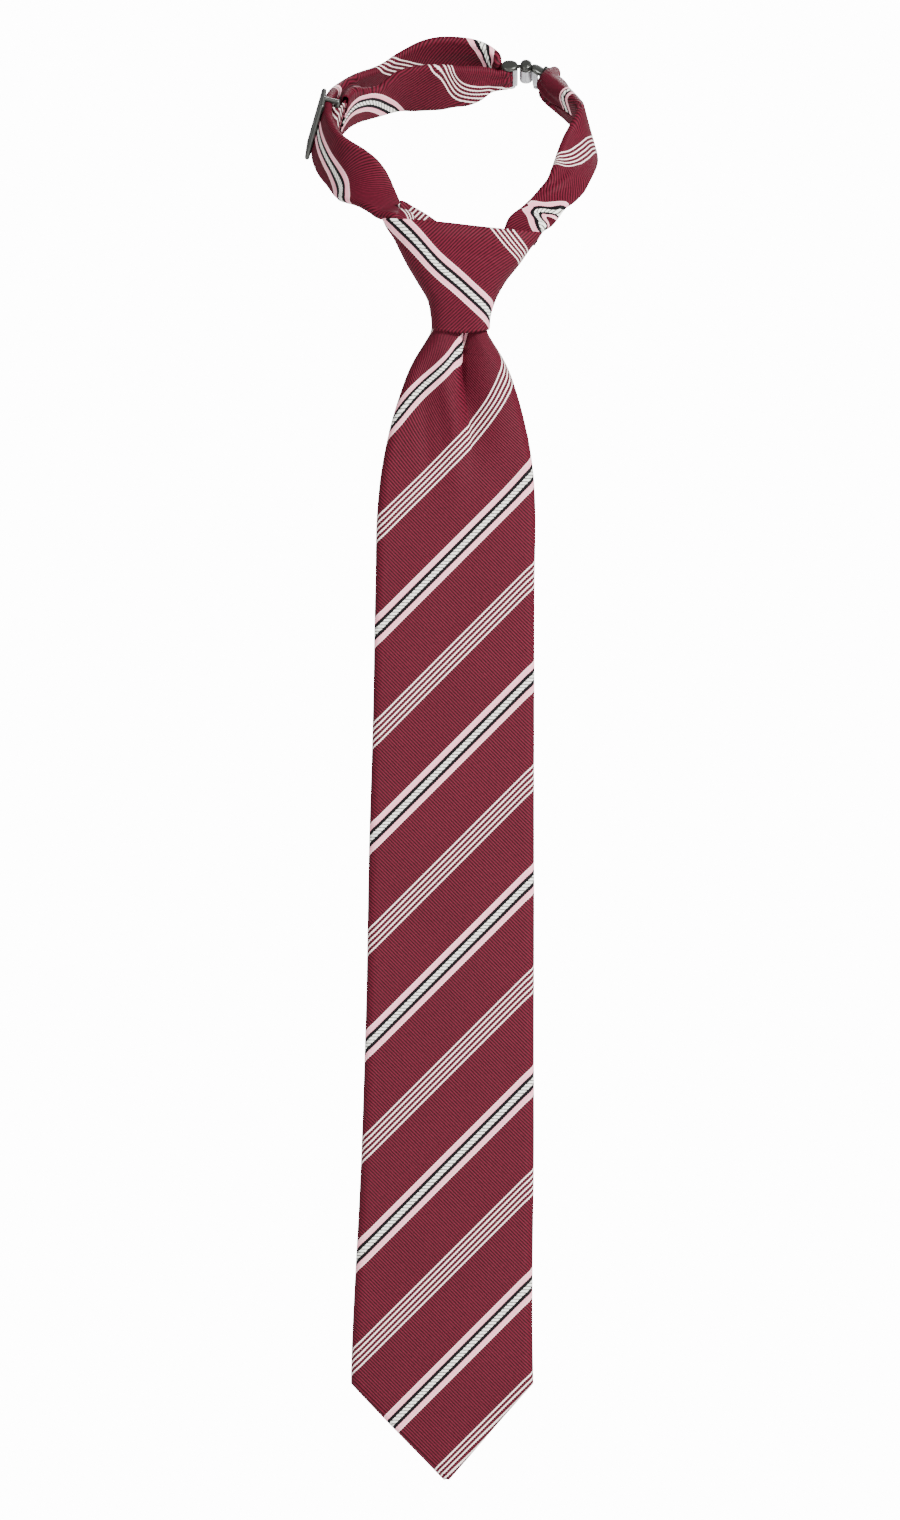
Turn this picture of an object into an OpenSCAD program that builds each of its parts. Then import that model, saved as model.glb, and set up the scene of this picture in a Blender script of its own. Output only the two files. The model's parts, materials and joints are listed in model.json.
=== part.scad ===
// Ready-tied necktie with an adjustable neck strap, a wire slider and a hook-and-eye clasp.
// X is to the wearer's left, Y points to the wearer's neck, Z is up.
// The origin is on the flat back of the knot, in the middle of its top edge.

/* [Knot] */
// Width of the knot along its top edge
knot_w = 52; // [40:1:70]
// Height of the knot
knot_h = 36; // [28:1:48]
// Width of the knot's mouth, where the blade comes out
mouth_w = 20; // [16:1:26]
// Depth of the knot at its top, from the flat back to the front
knot_depth = 17; // [13:0.5:22]
// How far the top edge drops from the left corner to the right corner
knot_skew = 4.7; // [0:0.1:8]

/* [Blade] */
// Width of the blade at the corners of its tip
blade_w = 60; // [45:1:90]
// Width of the blade just under its gathers
chest_w = 52; // [36:1:80]
// Length of the blade from the knot's mouth to the point of the tip
blade_l = 383; // [300:1:500]
// Height of the pointed tip
tip_h = 32; // [22:1:45]
// Thickness of the blade
blade_t = 4.4; // [3:0.1:6]
// Sideways lean of the blade over its length
blade_lean = 4.5; // [0:0.5:10]
// Depth of the dimple under the knot
dimple = 2.4; // [0:0.1:3]

/* [Neck loop] */
// Radius of the neck loop at the middle of the strap
loop_r = 46; // [40:1:60]
// Angle of the loop's plane above the horizontal
loop_tilt = 31; // [20:1:40]
// Width of the strap
strap_w = 18; // [14:0.5:22]
// Thickness of the folded strap
strap_t = 2; // [1.8:0.1:2.6]
// Lean of the strap towards the neck at the slider
strap_lean = 14; // [0:1:20]
// How far the inner run of the strap hangs inside the outer run
run_gap = 17; // [12:1:22]

/* [Fabric] */
// Thickness of one layer of fabric
fabric_t = 0.45; // [0.3:0.05:0.6]
// Thickness of the stitching thread
thread_d = 0.5; // [0.3:0.1:0.8]
// Distance between two slip stitches
stitch_pitch = 12; // [8:1:20]

/* [Slider] */
// Thickness of the slider's wire
wire_d = 1.7; // [1.4:0.1:2.2]
// Distance between the slider's two outer bars
slider_reach = 10.4; // [9:0.2:14]
// Place of the slider round the loop
slider_angle = 176; // [172:1:182]

/* [Clasp] */
// Height of the clasp
clasp_h = 10; // [9:0.5:12]
// Thickness of the clasp's end plates
plate_t = 1.1; // [0.9:0.1:1.4]
// Thickness of the two bars that hold the straps
bar_d = 1.6; // [1.4:0.1:2]
// Thickness of the eye's post
post_d = 1.6; // [1.4:0.1:1.8]
// Bore of the hook's knuckle
bore_d = 3; // [2.8:0.1:3.2]
// Outer diameter of the hook's knuckle
knuckle_d = 4.4; // [4.2:0.1:5]

/* [Hidden] */
$fn = 48;

burgundy = [0.49, 0.18, 0.25];
canvas = [0.88, 0.84, 0.76];
satin = [0.36, 0.10, 0.16];
thread = [0.42, 0.10, 0.18];
gunmetal = [0.33, 0.33, 0.32];
steel = [0.80, 0.81, 0.82];

gap = 0.3;                       // running clearance between separate pieces
lay = 0.1;                       // distance at which one soft piece lies on another
eps = 0.01;

// Vector helpers
function unit(v) = v / norm(v);
function mix(a, b, t) = a + (b - a) * t;

// A closed solid between two grids of points that have the same rows and columns.
// Row by row, grid a is the outer face and grid b the inner face.
module sheet_solid(a, b) {
    rows = len(a);
    cols = len(a[0]);
    count = rows * cols;
    function at(i, j, side) = side * count + i * cols + j;
    points = [for (grid = [a, b]) for (row = grid) each row];
    faces = [
        for (i = [0 : rows - 2]) for (j = [0 : cols - 2]) each [
            [at(i, j, 0), at(i, j + 1, 0), at(i + 1, j + 1, 0)],
            [at(i, j, 0), at(i + 1, j + 1, 0), at(i + 1, j, 0)],
            [at(i, j, 1), at(i + 1, j + 1, 1), at(i, j + 1, 1)],
            [at(i, j, 1), at(i + 1, j, 1), at(i + 1, j + 1, 1)]],
        for (i = [0 : rows - 2]) each [
            [at(i, 0, 0), at(i + 1, 0, 0), at(i + 1, 0, 1)],
            [at(i, 0, 0), at(i + 1, 0, 1), at(i, 0, 1)],
            [at(i, cols - 1, 0), at(i + 1, cols - 1, 1), at(i + 1, cols - 1, 0)],
            [at(i, cols - 1, 0), at(i, cols - 1, 1), at(i + 1, cols - 1, 1)]],
        for (j = [0 : cols - 2]) each [
            [at(0, j, 0), at(0, j + 1, 1), at(0, j + 1, 0)],
            [at(0, j, 0), at(0, j, 1), at(0, j + 1, 1)],
            [at(rows - 1, j, 0), at(rows - 1, j + 1, 0), at(rows - 1, j + 1, 1)],
            [at(rows - 1, j, 0), at(rows - 1, j + 1, 1), at(rows - 1, j, 1)]]];
    polyhedron(points = points, faces = faces, convexity = 10);
}

// ---------------------------------------------------------------- knot
knot_half = knot_w / 2;
mouth_half = mouth_w / 2;
knot_front_r = knot_depth * 2;                  // roundness of the knot's front
knot_rake = atan(5 / knot_h);                   // the front runs back towards the mouth
knot_middle = [0, -knot_depth / 2, -knot_h / 2];
knot_outline = [
    [-knot_half, knot_skew * 0.2], [-knot_half * 0.4, 0],
    [knot_half * 0.35, -knot_skew * 0.45], [knot_half, -knot_skew * 0.8],
    [knot_half * 0.87, -knot_h * 0.37], [knot_half * 0.49, -knot_h * 0.72],
    [mouth_half * 0.96, -knot_h * 0.88], [mouth_half * 0.92, -knot_h * 0.97], [mouth_half * 0.5, -knot_h],
    [-mouth_half * 0.55, -knot_h], [-mouth_half * 0.98, -knot_h * 0.97], [-mouth_half * 1.04, -knot_h * 0.87],
    [-knot_half * 0.45, -knot_h * 0.7], [-knot_half * 0.77, -knot_h * 0.37]];

module knot_body() intersection() {
    rotate([90, 0, 0]) linear_extrude(height = knot_depth * 1.2) polygon(knot_outline);
    translate([0, knot_depth, 0]) rotate([knot_rake, 0, 0]) translate([0, 0, -knot_h * 1.4])
        cylinder(r = knot_front_r, h = knot_h * 2, $fn = 96);
}

module knot_core(share) translate(knot_middle) scale(share) translate(-knot_middle) knot_body();

shell_share = 0.93;
former_share = 0.9;
former_wall = 0.12;

// Rows of thread through the back of the knot hold the band. They lie in slots, so the back stays flat.
tack_l = 9;
tack_y = -lay - thread_d / 2;
module at_tacks() for (side = [-1, 1]) for (row = [0 : 2])
    translate([side * knot_half * 0.45, tack_y, -4 - 2 * row]) children();

module knot_shell() color(burgundy) difference() {
    knot_body();
    knot_core(shell_share);
    at_tacks() cube([tack_l + 2 * lay, thread_d + 2 * lay + eps, thread_d + 2 * lay], center = true);
}

module knot_former() color(canvas) difference() {
    knot_core(former_share);
    knot_core(former_share - former_wall);
}

module band_tacks() color(thread) at_tacks() rotate([0, 90, 0])
    cylinder(d = thread_d, h = tack_l, center = true, $fn = 16);

// ---------------------------------------------------------------- blade
swing_r = 4.2;                                  // round top of the blade about its swing axis
swing_z = -knot_h - gap - swing_r;              // height of the swing axis
blade_y = -6;                                   // the blade's middle plane
blade_top = swing_z + swing_r;
corner_z = -knot_h - blade_l + tip_h;
tip_z = -knot_h - blade_l;
shoulder_z = swing_z - 52;                      // where the gathers end

// Half width, thickness, middle, dimple and half seam gap of the blade at height z
function blade_half(z) = lookup(z, [
    [tip_z, 1.4], [corner_z, blade_w / 2], [shoulder_z, chest_w / 2],
    [mix(swing_z, shoulder_z, 0.72), chest_w * 0.475], [mix(swing_z, shoulder_z, 0.46), chest_w * 0.425],
    [mix(swing_z, shoulder_z, 0.18), chest_w * 0.315], [swing_z, mouth_half * 1.12],
    [blade_top, mouth_half * 0.98]]);
function blade_thick(z) = lookup(z, [
    [tip_z, blade_t * 0.8], [shoulder_z, blade_t], [mix(swing_z, shoulder_z, 0.5), blade_t + 1.4],
    [swing_z, 2 * swing_r]]);
function round_top(z) = z <= swing_z ? 1 : max(0.35, sqrt(1 - pow((z - swing_z) / (swing_r + eps), 2)));
function blade_x(z) = lookup(z, [
    [tip_z, -1 - blade_lean * 0.9], [corner_z, -1 - blade_lean * 1.25], [swing_z, -1]]);
function blade_dimple(z) = lookup(z, [[shoulder_z, 0], [mix(swing_z, shoulder_z, 0.5), dimple * 0.8],
    [swing_z - 4, dimple], [swing_z + 1, 0]]);
function seam_half(z) = lookup(z, [[tip_z, 1], [tip_z + 4, 1.6], [corner_z, blade_w / 2 - 3.2],
    [corner_z + 42, 0.6], [blade_top, 0.6]]);

blade_z = [blade_top - 0.4, swing_z + 2.6, swing_z, swing_z - 5, swing_z - 11, swing_z - 18, swing_z - 25,
    swing_z - 32, swing_z - 41, shoulder_z, for (k = [1 : 8]) mix(shoulder_z, corner_z + 42, k / 8),
    corner_z + 20, corner_z, corner_z - tip_h / 3, corner_z - tip_h * 2 / 3, tip_z + 4, tip_z];

// One turn of the fabric round the blade at height z, drawn in by the given inset.
// It starts at the back seam, runs round the left edge, over the front and round to the seam again.
function blade_ring(z, inset) =
    let (half = max(blade_half(z) - inset, 0.5), thick = blade_thick(z) * round_top(z) / 2 - inset,
        fold = blade_dimple(z), seam = min(seam_half(z), half * 0.9), x = blade_x(z))
    [for (p = [[-seam, thick], [-half * 0.95, thick], [-half, thick * 0.1], [-half * 0.94, -thick * 0.85],
            [-half * 0.5, -thick], [-half * 0.18, -thick + fold * 0.55], [0, -thick + fold],
            [half * 0.18, -thick + fold * 0.55], [half * 0.5, -thick], [half * 0.94, -thick * 0.85],
            [half, thick * 0.1], [half * 0.95, thick], [seam, thick]])
        [x + p[0], blade_y + p[1], z]];

module blade_shell() color(burgundy)
    sheet_solid([for (z = blade_z) blade_ring(z, 0)], [for (z = blade_z) blade_ring(z, fabric_t)]);

// Front and back face of a flat layer inside the blade
function layer_row(z, half, y0, fold) =
    [for (k = [-1, -0.5, 0, 0.5, 1]) [blade_x(z) + k * half, y0 + (1 - abs(k)) * fold, z]];

lining_in = 4;                                  // the interlining stops this far inside the edges
canvas_t = 1.2;
module blade_interlining() color(canvas) {
    rows = [for (z = blade_z) if (z < swing_z + 0.1 && z > corner_z - tip_h / 2) z];
    sheet_solid(
        [for (z = rows) layer_row(z, blade_half(z) - lining_in, blade_y - canvas_t / 2 + 0.2,
            blade_dimple(z) * 0.6)],
        [for (z = rows) layer_row(z, blade_half(z) - lining_in, blade_y + canvas_t / 2 + 0.2,
            blade_dimple(z) * 0.6)]);
}

function lining_half(z) = min(seam_half(z), blade_half(z) - lining_in) * 0.94;
module tip_lining() color(satin) {
    rows = [corner_z + 36, corner_z + 20, corner_z, corner_z - tip_h / 3, corner_z - tip_h * 2 / 3];
    y0 = blade_y + canvas_t / 2 + 0.4;
    sheet_solid([for (z = rows) layer_row(z, lining_half(z), y0, 0)],
        [for (z = rows) layer_row(z, lining_half(z), y0 + fabric_t, 0)]);
}

// Thread that lies across the back seam
module back_thread(z, length) translate([blade_x(z), blade_y + blade_thick(z) / 2 + lay + thread_d / 2, z])
    rotate([0, 90, 0]) translate([0, 0, -length / 2]) cylinder(d = thread_d, h = length, $fn = 16);

seam_top = swing_z - 62;
seam_end = corner_z + 52;
module blade_slip_stitch() color(thread)
    for (z = [seam_top : -stitch_pitch : seam_end]) back_thread(z, 3);

module blade_bar_tacks() color(thread)
    for (z = [seam_top + 6, seam_end - 6]) for (row = [-1, 0, 1]) back_thread(z + row * (thread_d + 0.1), 10);

label_w = 22;
label_h = 30;
module care_label() color("white") {
    z = seam_top - 60;
    translate([blade_x(z) - label_w / 2, blade_y + blade_thick(z - label_h) / 2 + 2 * lay + thread_d + 0.3, z - label_h])
        cube([label_w, 0.3, label_h]);
}

// ---------------------------------------------------------------- neck loop
loop_middle = [-1, loop_r + 2];                 // middle of the loop in its own plane
band_rise = 7.7;                                // height of the strap's middle above the loop's plane

// From the loop's own directions (sideways, back along the plane, square to the plane) to X, Y, Z
function from_loop(p) = [p[0], p[1] * cos(loop_tilt) - p[2] * sin(loop_tilt),
    p[1] * sin(loop_tilt) + p[2] * cos(loop_tilt)];
module in_loop() rotate([loop_tilt, 0, 0]) translate([loop_middle[0], loop_middle[1], 0]) children();

// A station of a strap is [middle, direction across, width, thickness]
function loop_station(angle, radius, rise, lean, width, thick) =
    let (out = [cos(angle), sin(angle), 0])
    [from_loop([loop_middle[0], loop_middle[1], rise] + radius * out),
        from_loop([0, 0, cos(lean)] - sin(lean) * out), width, thick];
function way(s, i) = unit(s[min(i + 1, len(s) - 1)][0] - s[max(i - 1, 0)][0]);

// Points of one station's cross section, given as [across, through] pairs
function station_row(s, i, pairs) =
    let (facing = unit(cross(way(s, i), s[i][1])), across = cross(facing, way(s, i)))
    [for (p = pairs) s[i][0] + across * p[0] + facing * p[1]];

// Fabric folded round to a flat tube, with its seam on the side that faces the neck
function tube_pairs(width, thick, inset, side) =
    let (w = width / 2 - inset, t = (thick / 2 - inset) * side, g = 0.5)
    [[-g, t], [-w + 0.5, t], [-w, 0], [-w + 0.5, -t], [w - 0.5, -t], [w, 0], [w - 0.5, t], [g, t]];
module folded_tube(s, side)
    sheet_solid([for (i = [0 : len(s) - 1]) station_row(s, i, tube_pairs(s[i][2], s[i][3], 0, side))],
        [for (i = [0 : len(s) - 1]) station_row(s, i, tube_pairs(s[i][2], s[i][3], fabric_t, side))]);

// The flat strip of canvas inside such a tube
module strap_canvas(s) {
    twist_room = 0.08;                          // lets the flat canvas clear the twisting fabric
    function half(i) = s[i][2] / 2 - fabric_t - 1.4;
    function deep(i) = s[i][3] / 2 - fabric_t - lay - twist_room;
    sheet_solid([for (i = [0 : len(s) - 1]) station_row(s, i, [[-half(i), -deep(i)], [half(i), -deep(i)]])],
        [for (i = [0 : len(s) - 1]) station_row(s, i, [[-half(i), deep(i)], [half(i), deep(i)]])]);
}

// ---------------------------------------------------------------- clasp places
hinge = [0, 0.6, -knot_skew * 0.8 + gap + 0.6]; // the right half of the band swings about this line
post_at = from_loop([21.5, loop_middle[1] + loop_r * 0.78, band_rise]);
clasp_tilt = atan2(post_at[2] - hinge[2], post_at[1] - hinge[1]);
tight_t = 1.4;                                  // thickness of the strap where it turns round a bar
turn_r = bar_d / 2 + 0.2 + tight_t / 2;         // middle of the strap's turn round a bar
column_w = 1.8;
column_gap = 0.6;
eye_column = -knuckle_d / 2 - column_gap - column_w / 2;
hook_column = knuckle_d / 2 + column_w / 2;
bar_step = column_w / 2 + gap + tight_t + 0.2 + bar_d / 2;
eye_bar = eye_column - bar_step;
hook_bar = hook_column + bar_step;
clasp_strap_w = clasp_h - 2 * plate_t - 2 * gap;
plate_d = 3.4;

function from_clasp(p) = post_at + [p[0], p[1] * cos(clasp_tilt) - p[2] * sin(clasp_tilt),
    p[1] * sin(clasp_tilt) + p[2] * cos(clasp_tilt)];
clasp_up = from_clasp([0, 0, 1]) - post_at;
module in_clasp() translate(post_at) rotate([clasp_tilt, 0, 0]) children();

// ---------------------------------------------------------------- left strap
// Outer run: from the knot round the left side and the back to the clasp eye
outer_radius = [[66, loop_r * 0.89], [80, loop_r * 0.95], [110, loop_r], [212, loop_r], [224, loop_r + 0.5],
    [236, loop_r + 3.5], [243, loop_r + 7]];
outer_lean = [[70, 0], [110, 6], [140, strap_lean], [206, strap_lean], [221, 45], [234, 80], [243, 98]];
outer_width = [[66, clasp_strap_w], [78, strap_w * 0.62], [100, strap_w * 0.9], [112, strap_w * 0.94],
    [127, strap_w * 0.82], [142, strap_w * 0.92], [155, strap_w], [225, strap_w], [236, strap_w * 0.9],
    [243, strap_w * 0.8]];
outer_rise = [[66, band_rise], [74, band_rise + 1.8], [82, band_rise + 3], [92, band_rise + 2.4],
    [102, band_rise + 1.2], [110, band_rise - 1], [120, band_rise - 3], [128, band_rise - 3.4],
    [140, band_rise - 1.8], [152, band_rise - 0.4], [160, band_rise], [206, band_rise],
    [225, 7], [236, 5.4], [243, 4.4]];
outer_angles = [74, 80, 86, 92, 99, 106, 113, 120, 127, 134, 141, for (a = [147 : 5 : 207]) a,
    213, 219, 225, 231, 237, 242];
knot_left = [[-knot_half * 0.84, -6.5, knot_skew * 0.2 + gap + 1], unit([0.45, 0.89, 0.02]), 12, strap_t];
left_stations = [
    [from_clasp([eye_bar + 0.1, turn_r, 0]), clasp_up, clasp_strap_w, tight_t],
    [from_clasp([eye_bar - 1.6, turn_r + 0.3, 0]), clasp_up, clasp_strap_w, tight_t],
    for (a = outer_angles) loop_station(a, lookup(a, outer_radius), lookup(a, outer_rise),
        lookup(a, outer_lean), lookup(a, outer_width), a < 92 ? mix(tight_t, strap_t, (a - 66) / 26) : strap_t),
    knot_left];

module left_strap_shell() color(burgundy) folded_tube(left_stations, 1);
module left_strap_interlining() color(canvas) strap_canvas(left_stations);

// Inner run: round the eye's bar and back to the slider
loop_tail = 7.5;                                // length of the sewn end behind the slider's middle bar
inner_radius = [[68, loop_r * 0.83], [74, loop_r * 0.74], [82, loop_r - run_gap + 1.2], [92, loop_r - run_gap],
    [104, loop_r - run_gap + 0.2], [116, loop_r - run_gap + 2.5], [128, loop_r - run_gap + 5.6],
    [142, loop_r - 8.6], [155, loop_r - 6.5], [164, loop_r - 5.6], [170, loop_r - 5.2]];
inner_width = [[68, clasp_strap_w], [80, strap_w * 0.66], [92, strap_w * 0.82], [105, strap_w * 0.91],
    [122, strap_w * 0.9], [138, strap_w * 0.7], [150, strap_w * 0.76], [160, strap_w], [170, strap_w]];
inner_rise = [[68, band_rise], [98, band_rise + 0.3], [122, band_rise - 0.6], [138, band_rise - 1.6],
    [150, band_rise - 1], [160, band_rise], [170, band_rise]];
run_start = slider_angle - 11;
inner_stations = [
    for (a = [run_start, 158, 151, 144, 137, 130, 123, 116, 110, 104, 98, 92, 86, 80, 75])
        loop_station(a, lookup(a, inner_radius), lookup(a, inner_rise), a > 120 ? strap_lean * 0.8 : 0,
            lookup(a, inner_width), a < 92 ? mix(tight_t, strap_t, (a - 68) / 24) : strap_t),
    [from_clasp([eye_bar - 1.5, -turn_r - 0.4, 0]), clasp_up, clasp_strap_w, tight_t],
    for (t = [-90 : 30 : 60]) [from_clasp([eye_bar + turn_r * cos(t), turn_r * sin(t), 0]),
        clasp_up, clasp_strap_w, tight_t]];
module strap_inner_run() color(burgundy) folded_tube(inner_stations, -1);

// ---------------------------------------------------------------- slider
// Local directions at the slider: X out from the neck, Y along the strap to the knot, Z across the strap
module at_slider() in_loop() rotate([0, 0, slider_angle]) translate([loop_r, 0, band_rise])
    rotate([0, -strap_lean, 0]) children();

end_t = 0.6;                                    // thickness of the sewn end loop
wire_r = wire_d / 2;
side_bar_x = strap_t / 2 + gap + wire_r;
middle_bar_x = -(strap_t / 2 + gap + end_t + 0.15 + wire_r);
rail_z = strap_w / 2 + 0.4 + wire_r;

module bar_z(x, y) translate([x, y, -rail_z]) cylinder(r = wire_r, h = 2 * rail_z, $fn = 24);

module slider_frame() color(gunmetal) at_slider() {
    for (y = [-1, 1] * slider_reach / 2) bar_z(side_bar_x, y);
    bar_z(middle_bar_x, 0);
    for (z = [-1, 1] * rail_z) translate([0, 0, z]) {
        for (y = [-1, 1] * slider_reach / 2) translate([side_bar_x, y, 0]) sphere(r = wire_r, $fn = 24);
        for (x = [side_bar_x, middle_bar_x]) translate([x, 0, 0]) sphere(r = wire_r, $fn = 24);
        translate([side_bar_x, -slider_reach / 2, 0]) rotate([-90, 0, 0]) cylinder(r = wire_r, h = slider_reach, $fn = 24);
        translate([middle_bar_x, 0, 0]) rotate([0, 90, 0]) cylinder(r = wire_r, h = side_bar_x - middle_bar_x, $fn = 24);
    }
}

end_in = wire_r + 0.15;                         // inner radius of the end loop
end_turn = 14;                                  // the sewn end leaves the slider a little inwards
module at_end_loop() at_slider() translate([middle_bar_x, 0, 0]) rotate([0, 0, -end_turn]) children();
module strap_end_loop() color(burgundy) at_end_loop() linear_extrude(height = strap_w - 1, center = true) {
    difference() {
        circle(r = end_in + end_t);
        circle(r = end_in);
        translate([-5, -10]) square([10, 10]);
    }
    for (x = [-end_in - end_t, end_in]) translate([x, -loop_tail]) square([end_t, loop_tail + eps]);
}
module strap_end_stitch() color(thread) at_end_loop()
    for (k = [-3 : 3]) translate([-end_in - end_t - lay - thread_d / 2, -loop_tail + 2, k * 2.3])
        translate([0, 0, -0.8]) cylinder(d = thread_d, h = 1.6, $fn = 16);

// ---------------------------------------------------------------- clasp
module oval(x0, x1, z, depth, height) translate([0, 0, z]) linear_extrude(height = height) {
    for (x = [x0 + depth / 2, x1 - depth / 2]) translate([x, 0]) circle(d = depth);
    translate([x0 + depth / 2, -depth / 2]) square([x1 - x0 - depth, depth]);
}

// A strap bar and a column between two end plates, between x0 and x1
module strap_frame(bar, column, x0, x1) {
    for (z = [-clasp_h / 2, clasp_h / 2 - plate_t]) oval(x0, x1, z, plate_d, plate_t);
    translate([bar, 0, -clasp_h / 2]) cylinder(d = bar_d, h = clasp_h, $fn = 24);
    translate([column - column_w / 2, -1.1, -clasp_h / 2 + eps]) cube([column_w, 2.2, clasp_h - 2 * eps]);
}

link_t = 0.9;
knuckle_h = 5;
disc_z = clasp_h / 2 - plate_t;
knuckle_z = disc_z - gap - knuckle_h;
module clasp_eye() color(gunmetal) in_clasp() {
    strap_frame(eye_bar, eye_column, eye_bar - bar_d / 2 - 0.3, eye_column + column_w / 2);
    translate([eye_column, -0.8, disc_z]) cube([-eye_column, 1.6, link_t]);
    translate([0, 0, disc_z]) cylinder(d = 3.8, h = plate_t + 0.3);
    translate([0, 0, knuckle_z + 0.4]) cylinder(d = post_d, h = knuckle_h + gap, $fn = 24);
}

hook_top = disc_z - gap - 0.4;
module clasp_hook() color(steel) in_clasp() {
    difference() {
        union() {
            translate([0, 0, knuckle_z]) cylinder(d = knuckle_d, h = knuckle_h);
            translate([0, -1.1, knuckle_z]) cube([hook_column, 2.2, knuckle_h]);
        }
        translate([0, 0, knuckle_z - 1]) cylinder(d = bore_d, h = knuckle_h + 2);
    }
    translate([0, 0, -0.4]) strap_frame(hook_bar, hook_column, hook_column - column_w / 2, hook_bar + bar_d / 2 + 0.3);
}

// ---------------------------------------------------------------- right strap
// [sideways, back along the plane, rise, lean, width]
right_line = [[31.5, 76, 7.7, 12, 9], [34, 70, 7.7, 15, 11.5], [36.3, 64, 7.7, 14, 13.5], [38, 58, 7.7, 12, 15.5],
    [39, 52, 7.7, 13, 17], [39.3, 46, 7.5, 18, 17.5], [39, 40, 7.3, 26, 18], [37.9, 33, 6.9, 37, 18],
    [36.3, 25.5, 6.4, 45, 17.5], [34.4, 18.5, 5.7, 51, 17], [32.4, 12.5, 5, 60, 15.5], [30.4, 8.3, 4.3, 75, 14]];
function line_station(p) =
    let (out = unit([p[0] - loop_middle[0], p[1] - loop_middle[1], 0]))
    [from_loop([p[0] * loop_r / 46, loop_middle[1] + (p[1] - 48) * loop_r / 46, p[2]]),
        from_loop([0, 0, cos(p[3])] - sin(p[3]) * out), p[4] * strap_w / 18, p[4] < 13 ? mix(tight_t, strap_t, 0.5) : strap_t];
knot_right = [[knot_half * 0.98, -4.6, hinge[2] + 2.4], unit([-0.42, 0.9, 0]), 11, strap_t];
hook_turn = [hook_bar, 0, -0.4];
right_stations = [
    [from_clasp(hook_turn + [3.1, -turn_r, 0]), clasp_up, clasp_strap_w, tight_t],
    for (p = right_line) line_station(p),
    knot_right];

module right_strap_shell() color(burgundy) folded_tube(right_stations, -1);
module right_strap_interlining() color(canvas) strap_canvas(right_stations);

// The strap's end turns round the hook's bar and is sewn down
module right_strap_turn() color(burgundy) in_clasp() translate(hook_turn)
    linear_extrude(height = clasp_strap_w, center = true) {
        difference() {
            circle(r = turn_r + tight_t / 2);
            circle(r = turn_r - tight_t / 2);
            translate([0, -5]) square([10, 10]);
        }
        for (y = [-turn_r, turn_r]) translate([-eps, y - tight_t / 2]) square([y < 0 ? 2.1 : 5, tight_t]);
    }
module right_strap_stitch() color(thread) in_clasp() translate(hook_turn)
    for (k = [-1 : 1]) translate([4, turn_r + tight_t / 2 + lay + thread_d / 2, k * 2.2 - 0.8])
        cylinder(d = thread_d, h = 1.6, $fn = 16);

knot_shell();
knot_former();
band_tacks();
blade_shell();
blade_interlining();
tip_lining();
blade_slip_stitch();
blade_bar_tacks();
care_label();
left_strap_shell();
left_strap_interlining();
strap_inner_run();
strap_end_loop();
strap_end_stitch();
slider_frame();
clasp_eye();
clasp_hook();
right_strap_shell();
right_strap_interlining();
right_strap_turn();
right_strap_stitch();
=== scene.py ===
"""Ready-tied striped necktie: the looks of its fabric, thread and metal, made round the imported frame.

Each piece is a surface worked out on a grid. Lengths in the property groups are in metres.
"""

import json
import math

import bmesh
import bpy
import numpy as np
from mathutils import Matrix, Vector
from bpy.props import FloatProperty, FloatVectorProperty, PointerProperty


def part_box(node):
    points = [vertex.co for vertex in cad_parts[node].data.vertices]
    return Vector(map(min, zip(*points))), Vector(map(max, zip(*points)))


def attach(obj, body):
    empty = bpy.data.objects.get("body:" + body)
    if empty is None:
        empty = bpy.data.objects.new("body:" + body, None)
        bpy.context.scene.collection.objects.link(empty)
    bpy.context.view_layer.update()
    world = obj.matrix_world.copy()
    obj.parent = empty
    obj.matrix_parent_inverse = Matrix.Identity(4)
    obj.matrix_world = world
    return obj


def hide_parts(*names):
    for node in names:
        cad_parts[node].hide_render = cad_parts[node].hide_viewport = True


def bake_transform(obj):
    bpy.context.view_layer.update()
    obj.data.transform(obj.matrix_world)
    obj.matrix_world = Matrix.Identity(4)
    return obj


bl_info = {
    "name": "Ready-Tied Necktie",
    "version": (1, 0, 0),
    "blender": (4, 5, 0),
    "location": "View3D > Sidebar > Necktie",
    "description": "Makes the fabric, thread and metal of a ready-tied striped necktie round its frame",
    "category": "Object",
}

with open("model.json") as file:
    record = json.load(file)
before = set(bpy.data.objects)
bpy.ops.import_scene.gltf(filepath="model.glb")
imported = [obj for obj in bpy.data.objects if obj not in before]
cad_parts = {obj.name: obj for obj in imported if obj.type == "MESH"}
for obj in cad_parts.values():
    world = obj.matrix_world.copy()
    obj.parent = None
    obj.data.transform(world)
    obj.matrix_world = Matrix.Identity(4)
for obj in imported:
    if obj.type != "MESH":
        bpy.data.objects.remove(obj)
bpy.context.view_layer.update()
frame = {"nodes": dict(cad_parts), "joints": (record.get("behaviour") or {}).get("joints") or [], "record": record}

MM = 0.001
MOUNTS = {mount["name"]: mount for mount in frame["record"]["mounts"]}
JOINTS = {joint["name"]: joint for joint in frame["joints"]}
LOOP_MIDDLE = np.array(MOUNTS["neck_loop"]["pos_m"])
LOOP_UP = np.array(MOUNTS["neck_loop"]["axis"])
LOOP_UP = LOOP_UP / np.linalg.norm(LOOP_UP)
LOOP_BACK = np.array([0.0, LOOP_UP[2], -LOOP_UP[1]])
CLASP_UP = np.array(JOINTS["eye_swivel"]["axis"])
CLASP_BACK = np.array([0.0, CLASP_UP[2], -CLASP_UP[1]])
EYE_BAR = np.array(JOINTS["eye_swivel"]["pos_m"])
HOOK_BAR = np.array(JOINTS["hook_swivel"]["pos_m"])
BLADE_BOX = [np.array(corner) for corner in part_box("blade_shell")]


# ---------------------------------------------------------------- sizes and colours

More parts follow.
